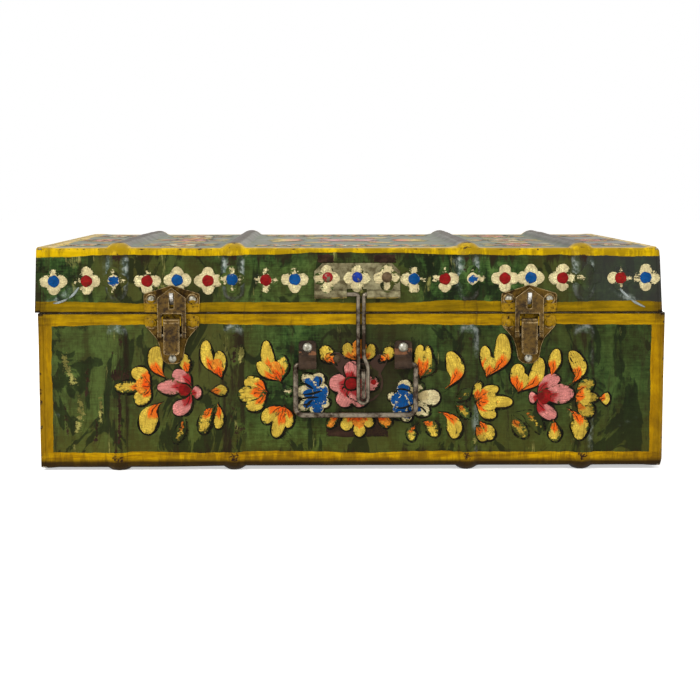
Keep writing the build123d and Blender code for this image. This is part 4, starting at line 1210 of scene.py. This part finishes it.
# Latches: each plate's back and front (mm off the face), corner, rim width, and its outline's right half from
# the latch's middle line and the seam
latchSet = {
    "places": {"left": -116, "right": 116},
    "plates": {
        "catch": (0, 1.25, 1.3, 1.2, ((0, 0.6), (18.0, 0.6), (18.2, 12.6), (0, 18.2))),
        "base": (0, 1.25, 1.3, 1.2, (
            (0, -0.6), (12.6, -0.6), (17.8, -2.4), (17.6, -8.2), (10.2, -16.6), (8.4, -21.5), (6.8, -30.4),
            (3.4, -33.2), (0, -33.2),
        )),
        "claw": (2.7, 3.9, 0.5, 0.8, (
            (0, 16.8), (9.2, 10.0), (9.2, -15.6), (6.5, -15.6), (6.5, -0.3), (0, -0.3), (0, 3.1), (1.5, 3.1),
            (1.5, 13.4), (0, 13.4),
        )),
        "lever": (4.8, 5.8, 0.6, 0.9, ((0, -4.0), (5.2, -4.0), (5.2, -25.4), (3.8, -26.6), (0, -26.6))),
    },
    "sunk": 0.35,  # how far a plate lies below its rim
    "washers": {"catch": ((-13.3, 8.9), (13.3, 8.9)), "base": ((-13.3, -6.6), (13.3, -6.6))},
    # two side walls: each from x to x, then both from y to y and from height to height
    "cheeks": {
        "base": ((-6.2, -5.4), (5.4, 6.2), (-5.8, -0.5), (-8, -2)),
        "lever": ((-5.2, -4.3), (4.3, 5.2), (-5.2, -1.8), (-19, -5)),
    },
    # rolled edges and pivots: height, distance from the face, radius, ends
    "rods": {
        "claw": ((-14.2, 3.2, 2.0, -9.2, -6.5), (-14.2, 3.2, 2.0, 6.5, 9.2)),
        "lever": ((-5.0, 4.0, 1.9, -5.2, 5.2),),
    },
    "lift": (2.2, 19, 28),  # how far the lever's tip stands off, and between which heights
    "hook": ((5.0, 0.5), (10.9, 5.4), (13.35, 5.4), (13.1, 4.2), (13.1, 0.5)),  # height, distance from face
    "hookHalf": 1.2,
    "softEdge": 0.16,
}


def thicken(bm, way):
    grown = bmesh.ops.extrude_face_region(bm, geom=bm.faces[:])["geom"]
    bmesh.ops.translate(bm, verts=[g for g in grown if isinstance(g, bmesh.types.BMVert)], vec=way)


def block(bm, low, high):
    made = bmesh.ops.create_cube(bm, size=1.0)["verts"]
    low, high = Vector(low) * mm, Vector(high) * mm
    bmesh.ops.scale(bm, verts=made, vec=high - low)
    bmesh.ops.translate(bm, verts=made, vec=(low + high) / 2)


def roundPiece(bm, centre, axis, segments, radii, length):
    turn = Matrix.Translation(Vector(centre) * mm) @ Matrix.Rotation(math.pi / 2, 4, axis)
    bmesh.ops.create_cone(bm, cap_ends=True, segments=segments, radius1=radii[0] * mm, radius2=radii[1] * mm,
                          depth=length * mm, matrix=turn)


def latchPlate(part):
    # a plate with rounded corners and a raised rim, and what stands on it
    bm = bmesh.new()
    low, high, corner, rim, outline = latchSet["plates"][part]
    bm.faces.new([bm.verts.new((u * mm, -low * mm, v * mm)) for u, v in outline])
    bmesh.ops.mirror(bm, geom=bm.verts[:] + bm.edges[:] + bm.faces[:], axis="X", merge_dist=1e-6)
    rounding = [v for v in bm.verts if abs(v.co.x) > 1e-5]
    bmesh.ops.bevel(bm, geom=rounding, affect="VERTICES", offset=corner * mm, segments=3, profile=0.5,
                    material=-1)
    thicken(bm, (0, (low - high) * mm, 0))
    bmesh.ops.recalc_face_normals(bm, faces=bm.faces)
    bm.normal_update()
    front = [f for f in bm.faces if f.normal.y < -0.9]
    bmesh.ops.inset_region(bm, faces=front, thickness=rim * mm, depth=-latchSet["sunk"] * mm,
                           use_even_offset=True)
    if part == "lever":
        most, start, end = latchSet["lift"]
        for vert in bm.verts:
            vert.co.y -= most * mm * smoothStep(start, end, -vert.co.z / mm)
    for x, height in latchSet["washers"].get(part, ()):
        roundPiece(bm, (x, -1, height), "X", 28, (3.5, 3.1), 0.7)
    if part in latchSet["cheeks"]:
        *sides, outs, heights = latchSet["cheeks"][part]
        for start, end in sides:
            block(bm, (start, outs[0], heights[0]), (end, outs[1], heights[1]))
    for height, out, radius, start, end in latchSet["rods"].get(part, ()):
        roundPiece(bm, ((start + end) / 2, -out, height), "Y", 20, (radius, radius), end - start)
    return bm


def latchHook():
    bm = bmesh.new()
    half = latchSet["hookHalf"] * mm
    bm.faces.new([bm.verts.new((-half, -out * mm, height * mm)) for height, out in latchSet["hook"]])
    thicken(bm, (2 * half, 0, 0))
    return bm


latchParts = {  # carrier and metal
    "catch": ("lid", catchBrass),
    "hook": ("lid", hookSteel),
    "base": ("body", baseBrass),
    "claw": ("claw_", brass),
    "lever": ("lever_", brass),
}
for side, x in latchSet["places"].items():
    for part, (carrier, metal) in latchParts.items():
        bm = latchHook() if part == "hook" else latchPlate(part)
        bmesh.ops.translate(bm, verts=bm.verts, vec=(x * mm, frontY, seamZ))
        sharp = [e for e in bm.edges if len(e.link_faces) == 2 and e.calc_face_angle() > 0.9]
        bmesh.ops.bevel(bm, geom=sharp, affect="EDGES", offset=latchSet["softEdge"] * mm, segments=1,
                        profile=0.5, material=-1)
        bmesh.ops.recalc_face_normals(bm, faces=bm.faces)
        carrier += side if carrier.endswith("_") else ""
        piece = finishObject(f"latch{part.capitalize()}_{side}", bm, [metal], carrier)
        if part != "hook":
            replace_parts(piece, f"latch_{part}_{side}")

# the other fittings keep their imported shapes
overSeam = [(2, seamZ - 15 * mm, seamZ + 8.5 * mm, border, 0.36)]
dress(metalMaterial("rivetSteel", overSeam, "_yellowed"), "latch_catch_rivets", "latch_base_rivets")
plateColours = [(0, -40 * mm, -5.6 * mm, "#8a1518", 0.47), (0, -5.6 * mm, 14 * mm, "#0d318c", 0.4),
                (0, 14 * mm, 50 * mm, "#5f4c34", 0.3)]
dress(metalMaterial("rivetSteel", plateColours, "_flowered"), "hasp_rivets")
dress(metalMaterial("rivetSteel", [(2, 0, seamZ, "#4d3d28", 0.3)], "_browned"), "staple_plate_rivet")
dress(metalMaterial("rivetSteel"), "handle_strap_rivets", "lid_hinge_rivets", "body_hinge_rivets")
plateFoot = [(2, seamZ + 4 * mm, seamZ + 10.5 * mm, "#a28a3a", 0.5)]
dress(metalMaterial("dullZinc", plateFoot), "hasp_plate")
wire = metalMaterial("brownedWire")
for side, worn in (("left", 0.57), ("right", 0.44)):
    rustyBend = [(2, seamZ - 27 * mm, seamZ - 23 * mm, "#70492f", worn)]
    dress(metalMaterial("strapIron", rustyBend, f"_{side}"), f"handle_strap_{side}")
dress(lockPlateMaterial(), "staple_plate")
dress(wire, "padlock_staple", "hasp_loop", "bail_handle", *[f"hinge_pin_{s}" for s in bothSides])
dress(wire, *[f"latch_{n}_{s}" for n in ("pivot_pin", "claw_pin") for s in bothSides])
dress(metalMaterial("hingeSteel"), *[f"hinge_leaf_{n}_{s}" for n in ("lid", "body") for s in bothSides])

# the strips round the body's mouth follow its bowed ends
stripTin = metalMaterial("tinStrip")
for side in ("front", "back", "left", "right"):
    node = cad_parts[f"mouth_strip_{side}"]
    bm = bmesh.new()
    bm.from_mesh(node.data)
    for vert in bm.verts:
        vert.co.x += spreadEnd(vert.co.x, "body") * smoothStep(seamZ - 2 * mm, seamZ - 6 * mm, vert.co.z)
    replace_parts(finishObject(f"mouthStrip_{side}", bm, [stripTin], "body"), node.name)

print("stage: finish")
